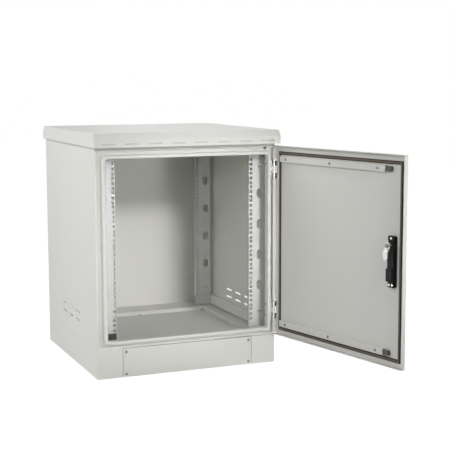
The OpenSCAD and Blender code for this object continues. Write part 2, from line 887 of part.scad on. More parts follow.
// Fixed hinge leaf on the rim wall, centred at height z
module hinge_leaf(z) {
    k = knuckle_h / 2;
    difference() {
        union() {
            block([rim_x, leaf_y0, z - hinge_h / 2], [rim_x + leaf_t, leaf_y1, z + hinge_h / 2]);
            block([rim_x, arm_y0, z - k], [hinge_x, hinge_y + knuckle_r, z + k]);
            translate([hinge_x, hinge_y, z - k]) cylinder(r = knuckle_r, h = knuckle_h);
        }
        translate([hinge_x, hinge_y, z - k - eps]) cylinder(r = pin_r + run_gap / 2, h = knuckle_h + 2 * eps);
        for (s = [-1, 1])
            rod_x(hinge_bolt_y, z + s * hinge_bolt_z, hinge_bolt_r + screw_gap, rim_x - eps, rim_x + leaf_t + eps);
    }
}

module lower_hinge_leaf() {
    color(zinc) hinge_leaf(hinge_zs[0]);
}

module upper_hinge_leaf() {
    color(zinc) hinge_leaf(hinge_zs[1]);
}

module hinge_bolts() {
    nut_x = rim_x - rim_w;
    color(zinc) at_hinge_bolts() {
        rod_x(0, 0, 2 * hinge_bolt_r - 1, rim_x + leaf_t, rim_x + leaf_t + hinge_bolt_h);
        rod_x(0, 0, hinge_bolt_r, nut_x - eps, rim_x + leaf_t + eps);
        hex_x(0, 0, 8, nut_x - 4, nut_x);
    }
}

module hinge_pins() {
    head_h = 1.5;
    color(zinc) for (z = hinge_zs) {
        translate([hinge_x, hinge_y, z - hinge_h / 2]) cylinder(r = pin_r, h = hinge_h + eps);
        translate([hinge_x, hinge_y, z + hinge_h / 2 + hinge_gap]) cylinder(r = knuckle_r - 0.7, h = head_h);
    }
}

module earth_stud() {
    top = plinth_h + earth_up;
    color(dark) translate([earth_x, earth_y, 0]) {
        hex_z(0, 0, bolt_af, floor_z, floor_z + earth_nut);
        translate([0, 0, plinth_h - earth_down]) cylinder(r = bolt_r, h = earth_down + earth_up);
        hex_z(0, 0, bolt_af, plinth_h - earth_nut, plinth_h);
        hex_z(0, 0, bolt_af, top - earth_nut - 1, top - 1);
    }
}

// Plan or side outline of the door tray between two edges, open at the back
module tray_outline(a, b, inset) {
    r = door_r - inset;
    front = door_y + door_r;
    back = inset > 0 ? lip_y + eps : lip_y;
    translate([a + inset, front]) square([b - a - 2 * inset, back - front]);
    translate([a + door_r, door_y + inset]) square([b - a - 2 * door_r, door_r]);
    for (x = [a + door_r, b - door_r])
        translate([x, front]) circle(r);
}

// Door tray body, grown inwards by a sheet thickness for its hollow
module tray(inset) {
    intersection() {
        translate([0, 0, door_z0 + inset]) linear_extrude(door_z1 - door_z0 - 2 * inset)
            tray_outline(-door_x, door_x, inset);
        along_x(inset - door_x, door_x - inset) rotate(90) mirror([0, 1])
            tray_outline(door_z0, door_z1, inset);
    }
}

module door_panel() {
    color(grey) at_door() difference() {
        tray(0);
        tray(door_t);
        for (z = hinge_zs)
            block([hinge_x - knuckle_r - eps, skin_y, z - hinge_h / 2 - eps],
                [door_x + eps, lip_y + eps, z + hinge_h / 2 + 3]);
        along_y(door_y - eps, skin_y + eps) translate([lock_x, door_mid])
            round_rect(case_w + 2 * case_gap, case_l + 2 * case_gap, case_r);
        for (p = lock_screw_places)
            rod_y(lock_x + p[0], p[1], lock_screw_r + screw_gap, door_y - eps, skin_y + eps);
        for (x = [-1, 0, 1], z = [door_rail_z0, door_rail_z1])
            rod_y(door_rail_cx + x * door_screw_pitch, z + door_rail_h / 2, door_screw_r + screw_gap,
                skin_y - door_t / 2, skin_y + eps);
    }
}

module door_gasket() {
    color(dark) at_door() along_y(skin_y, skin_y + gasket_h) translate([0, rim_mid]) difference() {
        round_rect(gasket_size[0], gasket_size[1], gasket_r);
        square([gasket_size[0] - 2 * gasket_w, gasket_size[1] - 2 * gasket_w], center = true);
    }
}

// Channel rail on the door sheet from height z
module door_rail(z) {
    at_door() difference() {
        block([door_rail_x0, skin_y, z], [door_rail_x1, skin_y + door_rail_d, z + door_rail_h]);
        block([door_rail_x0 - eps, skin_y - eps, z + door_t],
            [door_rail_x1 + eps, skin_y + door_rail_d - door_t, z + door_rail_h - door_t]);
        for (x = [-1, 0, 1])
            rod_y(door_rail_cx + x * door_screw_pitch, z + door_rail_h / 2, door_screw_r + screw_gap,
                skin_y, skin_y + door_rail_d + eps);
    }
}

module lower_door_rail() {
    color(grey) door_rail(door_rail_z0);
}

module upper_door_rail() {
    color(grey) door_rail(door_rail_z1);
}

module door_rail_screws() {
    color(zinc) at_door() for (x = [-1, 0, 1], z = [door_rail_z0, door_rail_z1]) {
        sx = door_rail_cx + x * door_screw_pitch;
        sz = z + door_rail_h / 2;
        rod_y(sx, sz, door_screw_r, skin_y - door_t / 2, skin_y + door_rail_d + eps);
        rod_y(sx, sz, 2 * door_screw_r - 0.5, skin_y + door_rail_d, skin_y + door_rail_d + 2);
    }
}

module door_rail_blocks() {
    color(dark) at_door() for (z = [door_rail_z0, door_rail_z1])
        along_y(skin_y, skin_y + block_d)
            translate([door_rail_x0 - eps - block_l / 2, z + door_rail_h / 2]) round_rect(block_l, block_h, 2);
}

// Two door knuckles above and below the fixed one, on their block on the door sheet
module door_knuckles(z) {
    k = knuckle_h / 2 + hinge_gap;
    at_door() for (span = [[z - hinge_h / 2, z - k], [z + k, z + hinge_h / 2]])
        difference() {
            union() {
                translate([hinge_x, hinge_y, span[0]]) cylinder(r = knuckle_r, h = span[1] - span[0]);
                block([hinge_x - knuckle_r, skin_y, span[0]], [hinge_x + knuckle_r, hinge_y, span[1]]);
            }
            translate([hinge_x, hinge_y, span[0] - eps])
                cylinder(r = pin_r + run_gap, h = span[1] - span[0] + 2 * eps);
        }
}

module lower_door_knuckles() {
    color(zinc) door_knuckles(hinge_zs[0]);
}

module upper_door_knuckles() {
    color(zinc) door_knuckles(hinge_zs[1]);
}

module handle_base() {
    pocket_z0 = plug_z + plug_boss_r + 4;
    pocket_z1 = spindle_z - sleeve_r - 2;
    color(black) at_door() difference() {
        union() {
            along_y(flange_y, door_y) translate([lock_x, door_mid]) round_rect(lock_w, lock_l, lock_r);
            along_y(door_y - eps, case_y) translate([lock_x, door_mid]) round_rect(case_w, case_l, case_r);
            rod_y(lock_x, spindle_z, sleeve_r, case_y - eps, sleeve_y);
            rod_y(lock_x, plug_z, plug_boss_r, flange_y - plug_boss_h, flange_y + eps);
        }
        along_y(flange_y - eps, case_y - 3) translate([lock_x, (pocket_z0 + pocket_z1) / 2])
            round_rect(case_w - 4, pocket_z1 - pocket_z0, case_r - 2);
        rod_y(lock_x, spindle_z, spindle_r + run_gap, flange_y - eps, sleeve_y + eps);
        rod_y(lock_x, plug_z, plug_r + run_gap, flange_y - plug_boss_h - eps, case_y - 3);
        for (p = lock_screw_places)
            rod_y(lock_x + p[0], p[1], lock_screw_r + screw_gap, flange_y + 1, door_y + eps);
    }
}

module lock_plate() {
    pad_h = lock_ear - 1;
    pad_z = (lock_l - pad_h) / 2;
    color(black) at_door() difference() {
        union() {
            along_y(skin_y, plate_y) translate([lock_x, door_mid]) difference() {
                round_rect(lock_w, lock_l, case_r);
                round_rect(case_w + 2 * case_gap, case_l + 2 * case_gap, case_r);
            }
            for (s = [-1, 1])
                along_y(plate_y - eps, plate_y + pad_d) translate([lock_x, door_mid + s * pad_z])
                    round_rect(case_w, pad_h, 2);
        }
        for (p = lock_screw_places)
            rod_y(lock_x + p[0], p[1], lock_screw_r + screw_gap, skin_y - eps, plate_y + pad_d + eps);
    }
}

module lock_box() {
    color(black) at_door() along_y(case_y, case_y + box_d)
        translate([lock_x, plug_z]) round_rect(box_w, box_h, 2);
}

module lock_screws() {
    seat = plate_y + pad_d;
    color(zinc) at_door() for (p = lock_screw_places) {
        rod_y(lock_x + p[0], p[1], lock_screw_r, flange_y + 1.5, seat + eps);
        rod_y(lock_x + p[0], p[1], 2 * lock_screw_r, seat, seat + 2.2);
    }
}

module handle_spindle() {
    color(zinc) at_handle() difference() {
        union() {
            rod_y(lock_x, spindle_z, spindle_r, flange_y - lever_gap / 2, cam_y);
            along_y(pin_y - lever_t / 2, flange_y) translate([lock_x, spindle_z]) square(fork_w, center = true);
            along_y(cam_y - eps, cam_y + cam_t) translate([lock_x, spindle_z]) square(tenon, center = true);
        }
        rod_x(pin_y, spindle_z, lever_pin_r + run_gap, lock_x - fork_w, lock_x + fork_w);
        rod_y(lock_x, spindle_z, cam_bolt_r + run_gap, cam_y - 14, cam_y + cam_t + eps);
    }
}

// Plan of the cranked cam, which points to the left
module cam_outline() {
    inner = cam_t * tan(22.5);
    polygon([
        [cam_w, cam_y], [-cam_bend, cam_y], [-cam_bend - cam_crank, cam_tip_y], [-cam_l, cam_tip_y],
        [-cam_l, cam_tip_y + cam_t], [inner - cam_bend - cam_crank, cam_tip_y + cam_t],
        [inner - cam_bend, cam_y + cam_t], [cam_w, cam_y + cam_t]]);
}

module lock_cam() {
    tip = cam_l - cam_w / 2;
    color(zinc) at_handle() translate([lock_x, 0, spindle_z]) intersection() {
        translate([0, 0, -cam_w]) linear_extrude(2 * cam_w) cam_outline();
        along_y(cam_y - eps, cam_tip_y + cam_t + eps) difference() {
            union() {
                circle(cam_w / 2 + 1);
                translate([-tip, -cam_w / 2]) square([tip, cam_w]);
                translate([-tip, 0]) circle(cam_w / 2);
            }
            square(tenon + run_gap, center = true);
        }
    }
}

module cam_bolt() {
    seat = cam_y + cam_t;
    color(zinc) at_handle() {
        rod_y(lock_x, spindle_z, cam_bolt_r, cam_y - 12, seat + eps);
        rod_y(lock_x, spindle_z, 2.6 * cam_bolt_r, seat, seat + 1.5);
        translate([lock_x, seat + 1.5 - eps / 2, spindle_z]) rotate([-90, 30, 0])
            cylinder(d = bolt_af / cos(30), h = 4, $fn = 6);
    }
}

// Side view of the lever in Y and Z, lying flat and pointing down
module lever_outline() {
    tip_r = tip_t / 2;
    tip_z = spindle_z - lever_l + tip_r;
    translate([pin_y, spindle_z]) circle(lever_t / 2);
    polygon([[lever_y, spindle_z], [lever_y - lever_t, spindle_z], [lever_y - tip_t, tip_z], [lever_y, tip_z]]);
    translate([lever_y - tip_r, tip_z]) circle(tip_r);
}

module swing_lever() {
    hole_r = plug_boss_r + 1.2;
    hollow = 3;
    color(black) at_lever() difference() {
        along_x(lock_x - lever_w / 2, lock_x + lever_w / 2) lever_outline();
        block([lock_x - fork_w / 2 - fork_gap, lever_y - lever_t - eps, spindle_z - slot_l],
            [lock_x + fork_w / 2 + fork_gap, lever_y + eps, spindle_z + lever_t]);
        rod_y(lock_x, plug_z, hole_r, lever_y - lever_t - eps, lever_y + eps);
        block([lock_x - lever_w / 2 + hollow, lever_y - tip_t / 2, plug_z + hole_r + hollow],
            [lock_x + lever_w / 2 - hollow, lever_y + eps, spindle_z - slot_l - hollow]);
        rod_x(pin_y, spindle_z, lever_pin_r + run_gap / 2, lock_x - lever_w, lock_x + lever_w);
    }
}

module lever_pin() {
    color(zinc) at_lever() rod_x(pin_y, spindle_z, lever_pin_r, lock_x - lever_w / 2, lock_x + lever_w / 2);
}

module lock_plug() {
    face_y = flange_y - plug_boss_h;
    color(zinc) at_door() difference() {
        rod_y(lock_x, plug_z, plug_r, face_y - 0.4, case_y - 3.3);
        block([lock_x - 0.8, face_y - eps, plug_z - 3], [lock_x + 0.8, face_y + 4, plug_z + 3]);
    }
}

left_side_wall();
right_side_wall();
rear_wall();
front_frame();
ceiling_plate();
floor_frame();
gland_plate();
gland_plate_screws();
base_flange();
base_front_frame();
base_cover();
base_cover_screws();
roof_hood();
roof_baffle();
roof_spacers();
roof_bolts();
front_left_rail();
front_right_rail();
rear_left_rail();
rear_right_rail();
front_left_foot();
lower_rail_feet();
upper_rail_feet();
rail_foot_bolts();
lower_left_bar();
lower_right_bar();
upper_left_bar();
upper_right_bar();
lower_hinge_leaf();
upper_hinge_leaf();
hinge_bolts();
hinge_pins();
earth_stud();
door_panel();
door_gasket();
lower_door_rail();
upper_door_rail();
door_rail_screws();
door_rail_blocks();
lower_door_knuckles();
upper_door_knuckles();
handle_base();
lock_plate();
lock_box();
lock_screws();
handle_spindle();
lock_cam();
cam_bolt();
swing_lever();
lever_pin();
lock_plug();
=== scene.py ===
"""Finishes and small hardware of an outdoor equipment cabinet, and its studio."""

import json
import math
import random

import bmesh
import bpy
from bpy.props import FloatProperty, FloatVectorProperty, IntProperty, PointerProperty
from mathutils import Matrix, Vector


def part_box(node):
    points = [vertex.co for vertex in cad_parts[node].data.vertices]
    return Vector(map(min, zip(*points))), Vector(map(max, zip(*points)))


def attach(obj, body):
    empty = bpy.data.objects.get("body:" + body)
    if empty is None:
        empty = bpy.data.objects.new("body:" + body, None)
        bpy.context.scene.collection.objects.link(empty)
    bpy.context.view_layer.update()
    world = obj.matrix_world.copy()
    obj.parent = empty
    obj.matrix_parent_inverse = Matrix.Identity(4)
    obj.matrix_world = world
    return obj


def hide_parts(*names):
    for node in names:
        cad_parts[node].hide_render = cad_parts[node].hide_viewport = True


bl_info = {
    "name": "Outdoor Cabinet",
    "version": (1, 0, 0),
    "blender": (4, 5, 0),
    "location": "View3D > Sidebar > Cabinet",
    "description": "Finishes, fasteners and studio for an outdoor equipment cabinet",
    "category": "Object",
}

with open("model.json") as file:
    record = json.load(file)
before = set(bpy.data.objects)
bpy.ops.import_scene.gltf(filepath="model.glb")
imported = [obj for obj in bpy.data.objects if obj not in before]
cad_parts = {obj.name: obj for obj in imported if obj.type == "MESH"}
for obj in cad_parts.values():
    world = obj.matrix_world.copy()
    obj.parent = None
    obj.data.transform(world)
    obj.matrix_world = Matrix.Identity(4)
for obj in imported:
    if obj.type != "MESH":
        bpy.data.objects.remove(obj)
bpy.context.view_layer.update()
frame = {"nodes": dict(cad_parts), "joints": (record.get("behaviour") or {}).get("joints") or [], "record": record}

MM = 0.001

MERGE_DISTANCE = 0.002 * MM
CREASE_ANGLE = math.radians(35.0)
EDGE_ANGLE = math.radians(40.0)
# Reach of the face test for the painted shade behind the base cover
SEAT_REACH = 0.4 * MM
HEXAGON_SIDES = 6
SENSOR_WIDTH = 36.0
FLOOR_HALF = 14.0
FLOOR_DROP = 0.2 * MM
FLOOR_GLOW = 1.22
FLOOR_GLOW_SHARE = 0.8
SPOT_BLEND = 0.6
SPOT_RADIUS = 0.45

# Shares of the gasket's width and height, and the seed of its waver
GASKET_SHOULDER_WIDTH = 0.2
GASKET_SHOULDER_HEIGHT = 0.45
GASKET_ROUND_WIDTH = 0.2
GASKET_BEAD_FOOT = 0.4
GASKET_BEND_DEGREES = (0, 22.5, 45, 67.5, 90)
GASKET_SEED = 11

HINGE = next(j for j in frame["joints"] if j["name"] == "door_hinge")
TURN = next(j for j in frame["joints"] if j["name"] == "handle_turn")
DOOR_IN = Vector(TURN["axis"]).normalized()
DOOR_OPEN = math.radians(-HINGE["range_deg"][0])
HINGE_POINT = Vector((HINGE["pos_m"][0], HINGE["pos_m"][1], 0.0))
TO_DOOR = (
    Matrix.Translation(HINGE_POINT)
    @ Matrix.Rotation(DOOR_OPEN, 4, "Z")
    @ Matrix.Translation(-HINGE_POINT)
)
BODY_OF = {
    node: body
    for body, nodes in frame["record"]["behaviour"]["bodies"].items()
    for node in nodes
}
SLOT_OF = {part["node"]: part["material_slot"] for part in frame["record"]["subparts"]}

SHEET_NODES = (
    "left_side_wall", "right_side_wall", "rear_wall", "front_frame", "ceiling_plate", "floor_frame",
    "gland_plate", "base_flange", "base_front_frame", "base_cover", "roof_hood", "roof_baffle",
    "lower_left_bar", "lower_right_bar", "upper_left_bar", "upper_right_bar", "door_panel",
    "lower_door_rail", "upper_door_rail",
)
RAIL_NODES = ("front_left_rail", "front_right_rail", "rear_left_rail", "rear_right_rail")
HINGE_NODES = (
    "lower_hinge_leaf", "upper_hinge_leaf", "lower_door_knuckles", "upper_door_knuckles", "hinge_pins",
)
PLASTIC_NODES = ("door_rail_blocks", "handle_base", "lock_plate", "lock_box", "swing_lever")
STEEL_NODES = ("roof_spacers", "earth_stud", "handle_spindle", "lock_cam", "lever_pin")
FOOT_NODES = ("front_left_foot", "lower_rail_feet", "upper_rail_feet")
# These screws and the cam bolt take a darker zinc as painted reflection of dark surroundings.
DARK_REFLECTION_NODES = ("base_cover_screws", "gland_plate_screws", "door_rail_screws", "cam_bolt")
# The roof baffle takes the darker zinc in place of its grey paint, as painted shade seen through the roof vents.
VENT_SHADE_NODES = ("roof_baffle",)


class CabinetFinish(bpy.types.PropertyGroup):
    """Colours and grain of the cabinet's surfaces."""

    paint: FloatVectorProperty(
        name="Paint", description="Colour of the powder coat", subtype="COLOR", size=3,
        default=(0.775, 0.77, 0.735), min=0.0, max=1.0,
    )
    # On the roof baffle this colour is painted shade behind the roof vents.
    zinc: FloatVectorProperty(
        name="Zinc", description="Colour of the rack rails, their feet and the roof baffle",
        subtype="COLOR", size=3, default=(0.62, 0.62, 0.61), min=0.0, max=1.0,
    )
    hardware: FloatVectorProperty(
        name="Hardware", description="Colour of the hinges, bolts, spacers and the lock's steel",
        subtype="COLOR", size=3, default=(0.80, 0.80, 0.78), min=0.0, max=1.0,
    )
    # The screws' dark colour is painted reflection of dark surroundings on their zinc.
    screws: FloatVectorProperty(
        name="Screws", description="Colour of the cover, plate and rail screws and the cam bolt",
        subtype="COLOR", size=3, default=(0.26, 0.26, 0.25), min=0.0, max=1.0,
    )
    # The primer named in this description is painted shade on the faces behind the base cover, seen in the gap
    # round it.
    dark_paint: FloatVectorProperty(
        name="Dark paint", description="Colour of the dark foot, the end blocks and the primer",
        subtype="COLOR", size=3, default=(0.085, 0.085, 0.08), min=0.0, max=1.0,
    )
    plastic: FloatVectorProperty(
        name="Plastic", description="Colour of the lock and handle", subtype="COLOR", size=3,
        default=(0.014, 0.014, 0.014), min=0.0, max=1.0,
    )
    foam: FloatVectorProperty(
        name="Foam", description="Colour of the door gasket's bead", subtype="COLOR", size=3,
        default=(0.17, 0.148, 0.115), min=0.0, max=1.0,
    )
    # The gasket's shoulders take this darker colour as painted shade beside the bead.
    foam_skin: FloatVectorProperty(
        name="Foam skin", description="Colour of the door gasket's shoulders", subtype="COLOR", size=3,
        default=(0.028, 0.024, 0.018), min=0.0, max=1.0,
    )
    nickel: FloatVectorProperty(
        name="Nickel", description="Colour of the lock plug", subtype="COLOR", size=3,
        default=(0.68, 0.66, 0.61), min=0.0, max=1.0,
    )
    peel: FloatProperty(
        name="Paint grain", description="Size of the fine bumps in the powder coat", subtype="DISTANCE",
        default=1.2 * MM, min=0.2 * MM, max=5 * MM,
    )


class CabinetEdges(bpy.types.PropertyGroup):
    """Rounding of cut and moulded edges."""

    sheet: FloatProperty(
        name="Sheet edges", description="Rounding of painted sheet edges", subtype="DISTANCE",
        default=0.35 * MM, min=0.05 * MM, max=0.7 * MM,
    )
    rail: FloatProperty(
        name="Rail edges", description="Rounding of the punched rail edges", subtype="DISTANCE",
        default=0.3 * MM, min=0.05 * MM, max=0.8 * MM,
    )
    plastic: FloatProperty(
        name="Plastic edges", description="Rounding of the moulded edges", subtype="DISTANCE",
        default=0.9 * MM, min=0.1 * MM, max=2 * MM,
    )
    steps: IntProperty(
        name="Steps", description="Faces across a rounded edge", default=2, min=1, max=4,
    )


class CabinetStudio(bpy.types.PropertyGroup):
    """Camera and lamps."""

    eye: FloatVectorProperty(
        name="Camera place", description="Where the camera stands", subtype="TRANSLATION", unit="LENGTH",
        default=(-1.2535, -3.6169, 0.9261),
    )
    yaw: FloatProperty(
        name="Camera turn", description="Turn to the right of straight ahead", subtype="ANGLE",
        default=math.radians(22.58),
    )
    pitch: FloatProperty(
        name="Camera tilt", description="Tilt below the horizon", subtype="ANGLE",
        default=math.radians(7.39),
    )
    roll: FloatProperty(
        name="Camera roll", description="Roll about the line of sight", subtype="ANGLE",
        default=math.radians(-0.14),
    )
    lens: FloatProperty(
        name="Focal length", description="Focal length in millimetres on a 36 mm sensor",
        default=91.36, min=20.0, max=300.0,
    )
    ambient: FloatProperty(
        name="Room light", description="Strength of the even light from all round",
        default=0.17, min=0.0, max=2.0,
    )
    top: FloatProperty(
        name="Top lamp", description="Power of the large lamp overhead",
        default=2.0, min=0.0, max=500.0, unit="POWER",
    )
    left: FloatProperty(
        name="Left lamp", description="Power of the lamp beside the left wall",
        default=17.5, min=0.0, max=500.0, unit="POWER",
    )
    front: FloatProperty(
        name="Front lamp", description="Power of the lamp in front, on the left",
        default=15.0, min=0.0, max=500.0, unit="POWER",
    )
    right: FloatProperty(
        name="Right lamp", description="Power of the lamp in front, on the right",
        default=8.0, min=0.0, max=500.0, unit="POWER",
    )
    rear: FloatProperty(
        name="Rear lamp", description="Power of the lamp behind the rear wall",
        default=8.0, min=0.0, max=500.0, unit="POWER",
    )
    inside: FloatProperty(
        name="Inside spot", description="Power of the spot that shines down into the body",
        default=540.0, min=0.0, max=2000.0, unit="POWER",
    )
    inside_low: FloatProperty(
        name="Low inside spot", description="Power of the spot that shines level into the body",
        default=300.0, min=0.0, max=2000.0, unit="POWER",
    )
    inside_left: FloatProperty(
        name="Left inside spot", description="Power of the spot that shines from the left into the body",
        default=215.0, min=0.0, max=2000.0, unit="POWER",
    )
    edge: FloatProperty(
        name="Edge spot", description="Power of the spot on the door's free edge",
        default=200.0, min=0.0, max=2000.0, unit="POWER",
    )


def settings():
    """The finish, edge and studio settings on the scene."""
    scene = bpy.context.scene
    return scene.cabinet_finish, scene.cabinet_edges, scene.cabinet_studio


# Shader groups

def new_group(name, inputs, outputs):
    """An empty shader node group with float, vector or colour sockets."""
    group = bpy.data.node_groups.new(name, "ShaderNodeTree")
    for label, kind, value in inputs:
        socket = group.interface.new_socket(label, in_out="INPUT", socket_type=kind)
        if value is not None:
            socket.default_value = value
    for label, kind in outputs:
        group.interface.new_socket(label, in_out="OUTPUT", socket_type=kind)
    source = group.nodes.new("NodeGroupInput")
    sink = group.nodes.new("NodeGroupOutput")
    return group, source, sink


def math_node(tree, operation, a, b, clamp=False):
    """A Math node whose inputs are sockets or numbers."""
    node = tree.nodes.new("ShaderNodeMath")
    node.operation = operation
    node.use_clamp = clamp
    for socket, value in zip(node.inputs, (a, b)):
        if isinstance(value, bpy.types.NodeSocket):
            tree.links.new(value, socket)
        else:
            socket.default_value = value
    return node.outputs[0]


def noise_node(tree, vector, scale, detail=2.0, roughness=0.5):
    """The value of a noise texture."""
    node = tree.nodes.new("ShaderNodeTexNoise")
    tree.links.new(vector, node.inputs["Vector"])
    if isinstance(scale, bpy.types.NodeSocket):
        tree.links.new(scale, node.inputs["Scale"])
    else:
        node.inputs["Scale"].default_value = scale
    node.inputs["Detail"].default_value = detail
    node.inputs["Roughness"].default_value = roughness
    return node.outputs["Fac"]


def grain_group():
    """Fine bumps and slow drifts of tone and gloss, for coats and mouldings."""
    found = bpy.data.node_groups.get("surface_grain")
    if found:
        return found
    group, source, sink = new_group(
        "surface_grain",
        [
            ("Vector", "NodeSocketVector", None),
            ("Fine Scale", "NodeSocketFloat", 800.0),
            ("Drift Scale", "NodeSocketFloat", 3.0),
            ("Drift", "NodeSocketFloat", 0.03),
            ("Gloss", "NodeSocketFloat", 0.45),
            ("Gloss Drift", "NodeSocketFloat", 0.06),
        ],
        [("Tone", "NodeSocketFloat"), ("Roughness", "NodeSocketFloat"), ("Height", "NodeSocketFloat")],
    )
    fine = noise_node(group, source.outputs["Vector"], source.outputs["Fine Scale"], 3.0, 0.55)
    drift = noise_node(group, source.outputs["Vector"], source.outputs["Drift Scale"], 3.0, 0.5)
    centred = math_node(group, "SUBTRACT", drift, 0.5)
    shift = math_node(group, "MULTIPLY", centred, source.outputs["Drift"])
    speck = math_node(group, "MULTIPLY", math_node(group, "SUBTRACT", fine, 0.5), 0.04)
    tone = math_node(group, "ADD", math_node(group, "ADD", shift, 1.0), speck)
    gloss_shift = math_node(group, "MULTIPLY", centred, source.outputs["Gloss Drift"])
    gloss = math_node(group, "ADD", source.outputs["Gloss"], gloss_shift)
    group.links.new(tone, sink.inputs["Tone"])
    group.links.new(gloss, sink.inputs["Roughness"])
    group.links.new(fine, sink.inputs["Height"])
    return group


def plate_group():
    """Crystal patches of plated steel, with fine rolling lines."""
    found = bpy.data.node_groups.get("plated_steel")
    if found:
        return found
    group, source, sink = new_group(
        "plated_steel",
        [
            ("Vector", "NodeSocketVector", None),
            ("Patch Scale", "NodeSocketFloat", 160.0),
            ("Gloss", "NodeSocketFloat", 0.36),
        ],
        [("Tone", "NodeSocketFloat"), ("Roughness", "NodeSocketFloat"), ("Height", "NodeSocketFloat")],
    )
    patch = group.nodes.new("ShaderNodeTexVoronoi")
    group.links.new(source.outputs["Vector"], patch.inputs["Vector"])
    group.links.new(source.outputs["Patch Scale"], patch.inputs["Scale"])
    split = group.nodes.new("ShaderNodeSeparateColor")
    group.links.new(patch.outputs["Color"], split.inputs["Color"])
    level = math_node(group, "SUBTRACT", split.outputs["Red"], 0.5)
    cloud = math_node(group, "SUBTRACT", noise_node(group, source.outputs["Vector"], 25.0, 3.0), 0.5)
    tone = math_node(
        group, "ADD", math_node(group, "MULTIPLY", level, 0.05), math_node(group, "MULTIPLY", cloud, 0.10)
    )
    group.links.new(math_node(group, "ADD", tone, 1.0), sink.inputs["Tone"])
    gloss = math_node(group, "ADD", source.outputs["Gloss"], math_node(group, "MULTIPLY", level, 0.10))
    group.links.new(gloss, sink.inputs["Roughness"])
    group.links.new(noise_node(group, source.outputs["Vector"], 900.0, 2.0), sink.inputs["Height"])
    return group


def surfaced_material(name, colour, group, values, metallic, bump, bump_depth, specular=0.5):
    """A Principled material whose colour, gloss and bumps come from a surface group."""
    material = bpy.data.materials.new(name)
    material.use_nodes = True
    tree = material.node_tree
    shader = tree.nodes["Principled BSDF"]
    shader.inputs["Metallic"].default_value = metallic
    shader.inputs["Specular IOR Level"].default_value = specular
    place = tree.nodes.new("ShaderNodeTexCoord")
    surface = tree.nodes.new("ShaderNodeGroup")
    surface.node_tree = group
    tree.links.new(place.outputs["Object"], surface.inputs["Vector"])
    for label, value in values.items():
        surface.inputs[label].default_value = value
    tint = tree.nodes.new("ShaderNodeMix")
    tint.data_type = "RGBA"
    tint.blend_type = "MULTIPLY"
    tint.inputs["Factor"].default_value = 1.0
    tint.inputs["A"].default_value = (*colour, 1.0)
    tree.links.new(surface.outputs["Tone"], tint.inputs["B"])
    tree.links.new(tint.outputs["Result"], shader.inputs["Base Color"])
    tree.links.new(surface.outputs["Roughness"], shader.inputs["Roughness"])
    relief = tree.nodes.new("ShaderNodeBump")
    relief.inputs["Strength"].default_value = bump
    relief.inputs["Distance"].default_value = bump_depth
    tree.links.new(surface.outputs["Height"], relief.inputs["Height"])
    tree.links.new(relief.outputs["Normal"], shader.inputs["Normal"])
    return material


def powder_coat():
    """Light grey powder coat."""
    finish = settings()[0]
    values = {
        "Fine Scale": 1.0 / finish.peel,
        "Drift Scale": 2.5,
        "Drift": 0.03,
        "Gloss": 0.5,
        "Gloss Drift": 0.08,
    }
    return surfaced_material(
        "powder_coat", finish.paint, grain_group(), values,
        metallic=0.0, bump=0.10, bump_depth=0.15 * MM, specular=0.2,
    )


def dark_coat():
    """Dark grey coat of the dark foot, the end blocks and the earth stud, also used as painted shade in the gap
    round the base cover.
    """
    finish = settings()[0]
    values = {"Fine Scale": 1000.0, "Drift Scale": 8.0, "Drift": 0.08, "Gloss": 0.5, "Gloss Drift": 0.1}
    return surfaced_material(
        "dark_coat", finish.dark_paint, grain_group(), values,
        metallic=0.0, bump=0.12, bump_depth=0.15 * MM,
    )


def black_moulding():
    """Black moulded plastic with a fine spark texture."""
    finish = settings()[0]
    values = {"Fine Scale": 1800.0, "Drift Scale": 20.0, "Drift": 0.15, "Gloss": 0.42, "Gloss Drift": 0.1}
    return surfaced_material(
        "black_moulding", finish.plastic, grain_group(), values,
        metallic=0.0, bump=0.25, bump_depth=0.1 * MM, specular=0.25,
    )


def gasket_foam():
    """Brown foam with open pores."""
    finish = settings()[0]
    values = {"Fine Scale": 700.0, "Drift Scale": 30.0, "Drift": 0.35, "Gloss": 0.85, "Gloss Drift": 0.1}
    return surfaced_material(
        "gasket_foam", finish.foam, grain_group(), values,
        metallic=0.0, bump=0.5, bump_depth=0.3 * MM, specular=0.2,
    )


def gasket_skin():
    """Darker copy of the foam on its low shoulders, painted shade beside the bead."""
    finish = settings()[0]
    values = {"Fine Scale": 900.0, "Drift Scale": 30.0, "Drift": 0.3, "Gloss": 0.7, "Gloss Drift": 0.1}
    return surfaced_material(
        "gasket_skin", finish.foam_skin, grain_group(), values,
        metallic=0.0, bump=0.3, bump_depth=0.2 * MM, specular=0.2,
    )


def zinc_plate():
    """Zinc plate of the rack rails and their feet; on the roof baffle its darker tone is painted shade behind the
    roof vents.
    """
    finish = settings()[0]
    values = {"Patch Scale": 150.0, "Gloss": 0.5}
    return surfaced_material(
        "zinc_plate", finish.zinc, plate_group(), values,
        metallic=0.4, bump=0.06, bump_depth=0.1 * MM,
    )


def bright_zinc():
    """Glossy zinc of the hinges, the bolts, the roof spacers and the lock's steel."""
    finish = settings()[0]
    values = {"Patch Scale": 300.0, "Gloss": 0.24}
    return surfaced_material(
        "bright_zinc", finish.hardware, plate_group(), values,
        metallic=1.0, bump=0.05, bump_depth=0.05 * MM,
    )


def dull_zinc():
    """Zinc of the cover, plate and rail screws and the cam bolt, made darker as painted reflection of dark
    surroundings.
    """
    finish = settings()[0]
    values = {"Patch Scale": 300.0, "Gloss": 0.34}
    return surfaced_material(
        "dull_zinc", finish.screws, plate_group(), values,
        metallic=1.0, bump=0.05, bump_depth=0.05 * MM,
    )


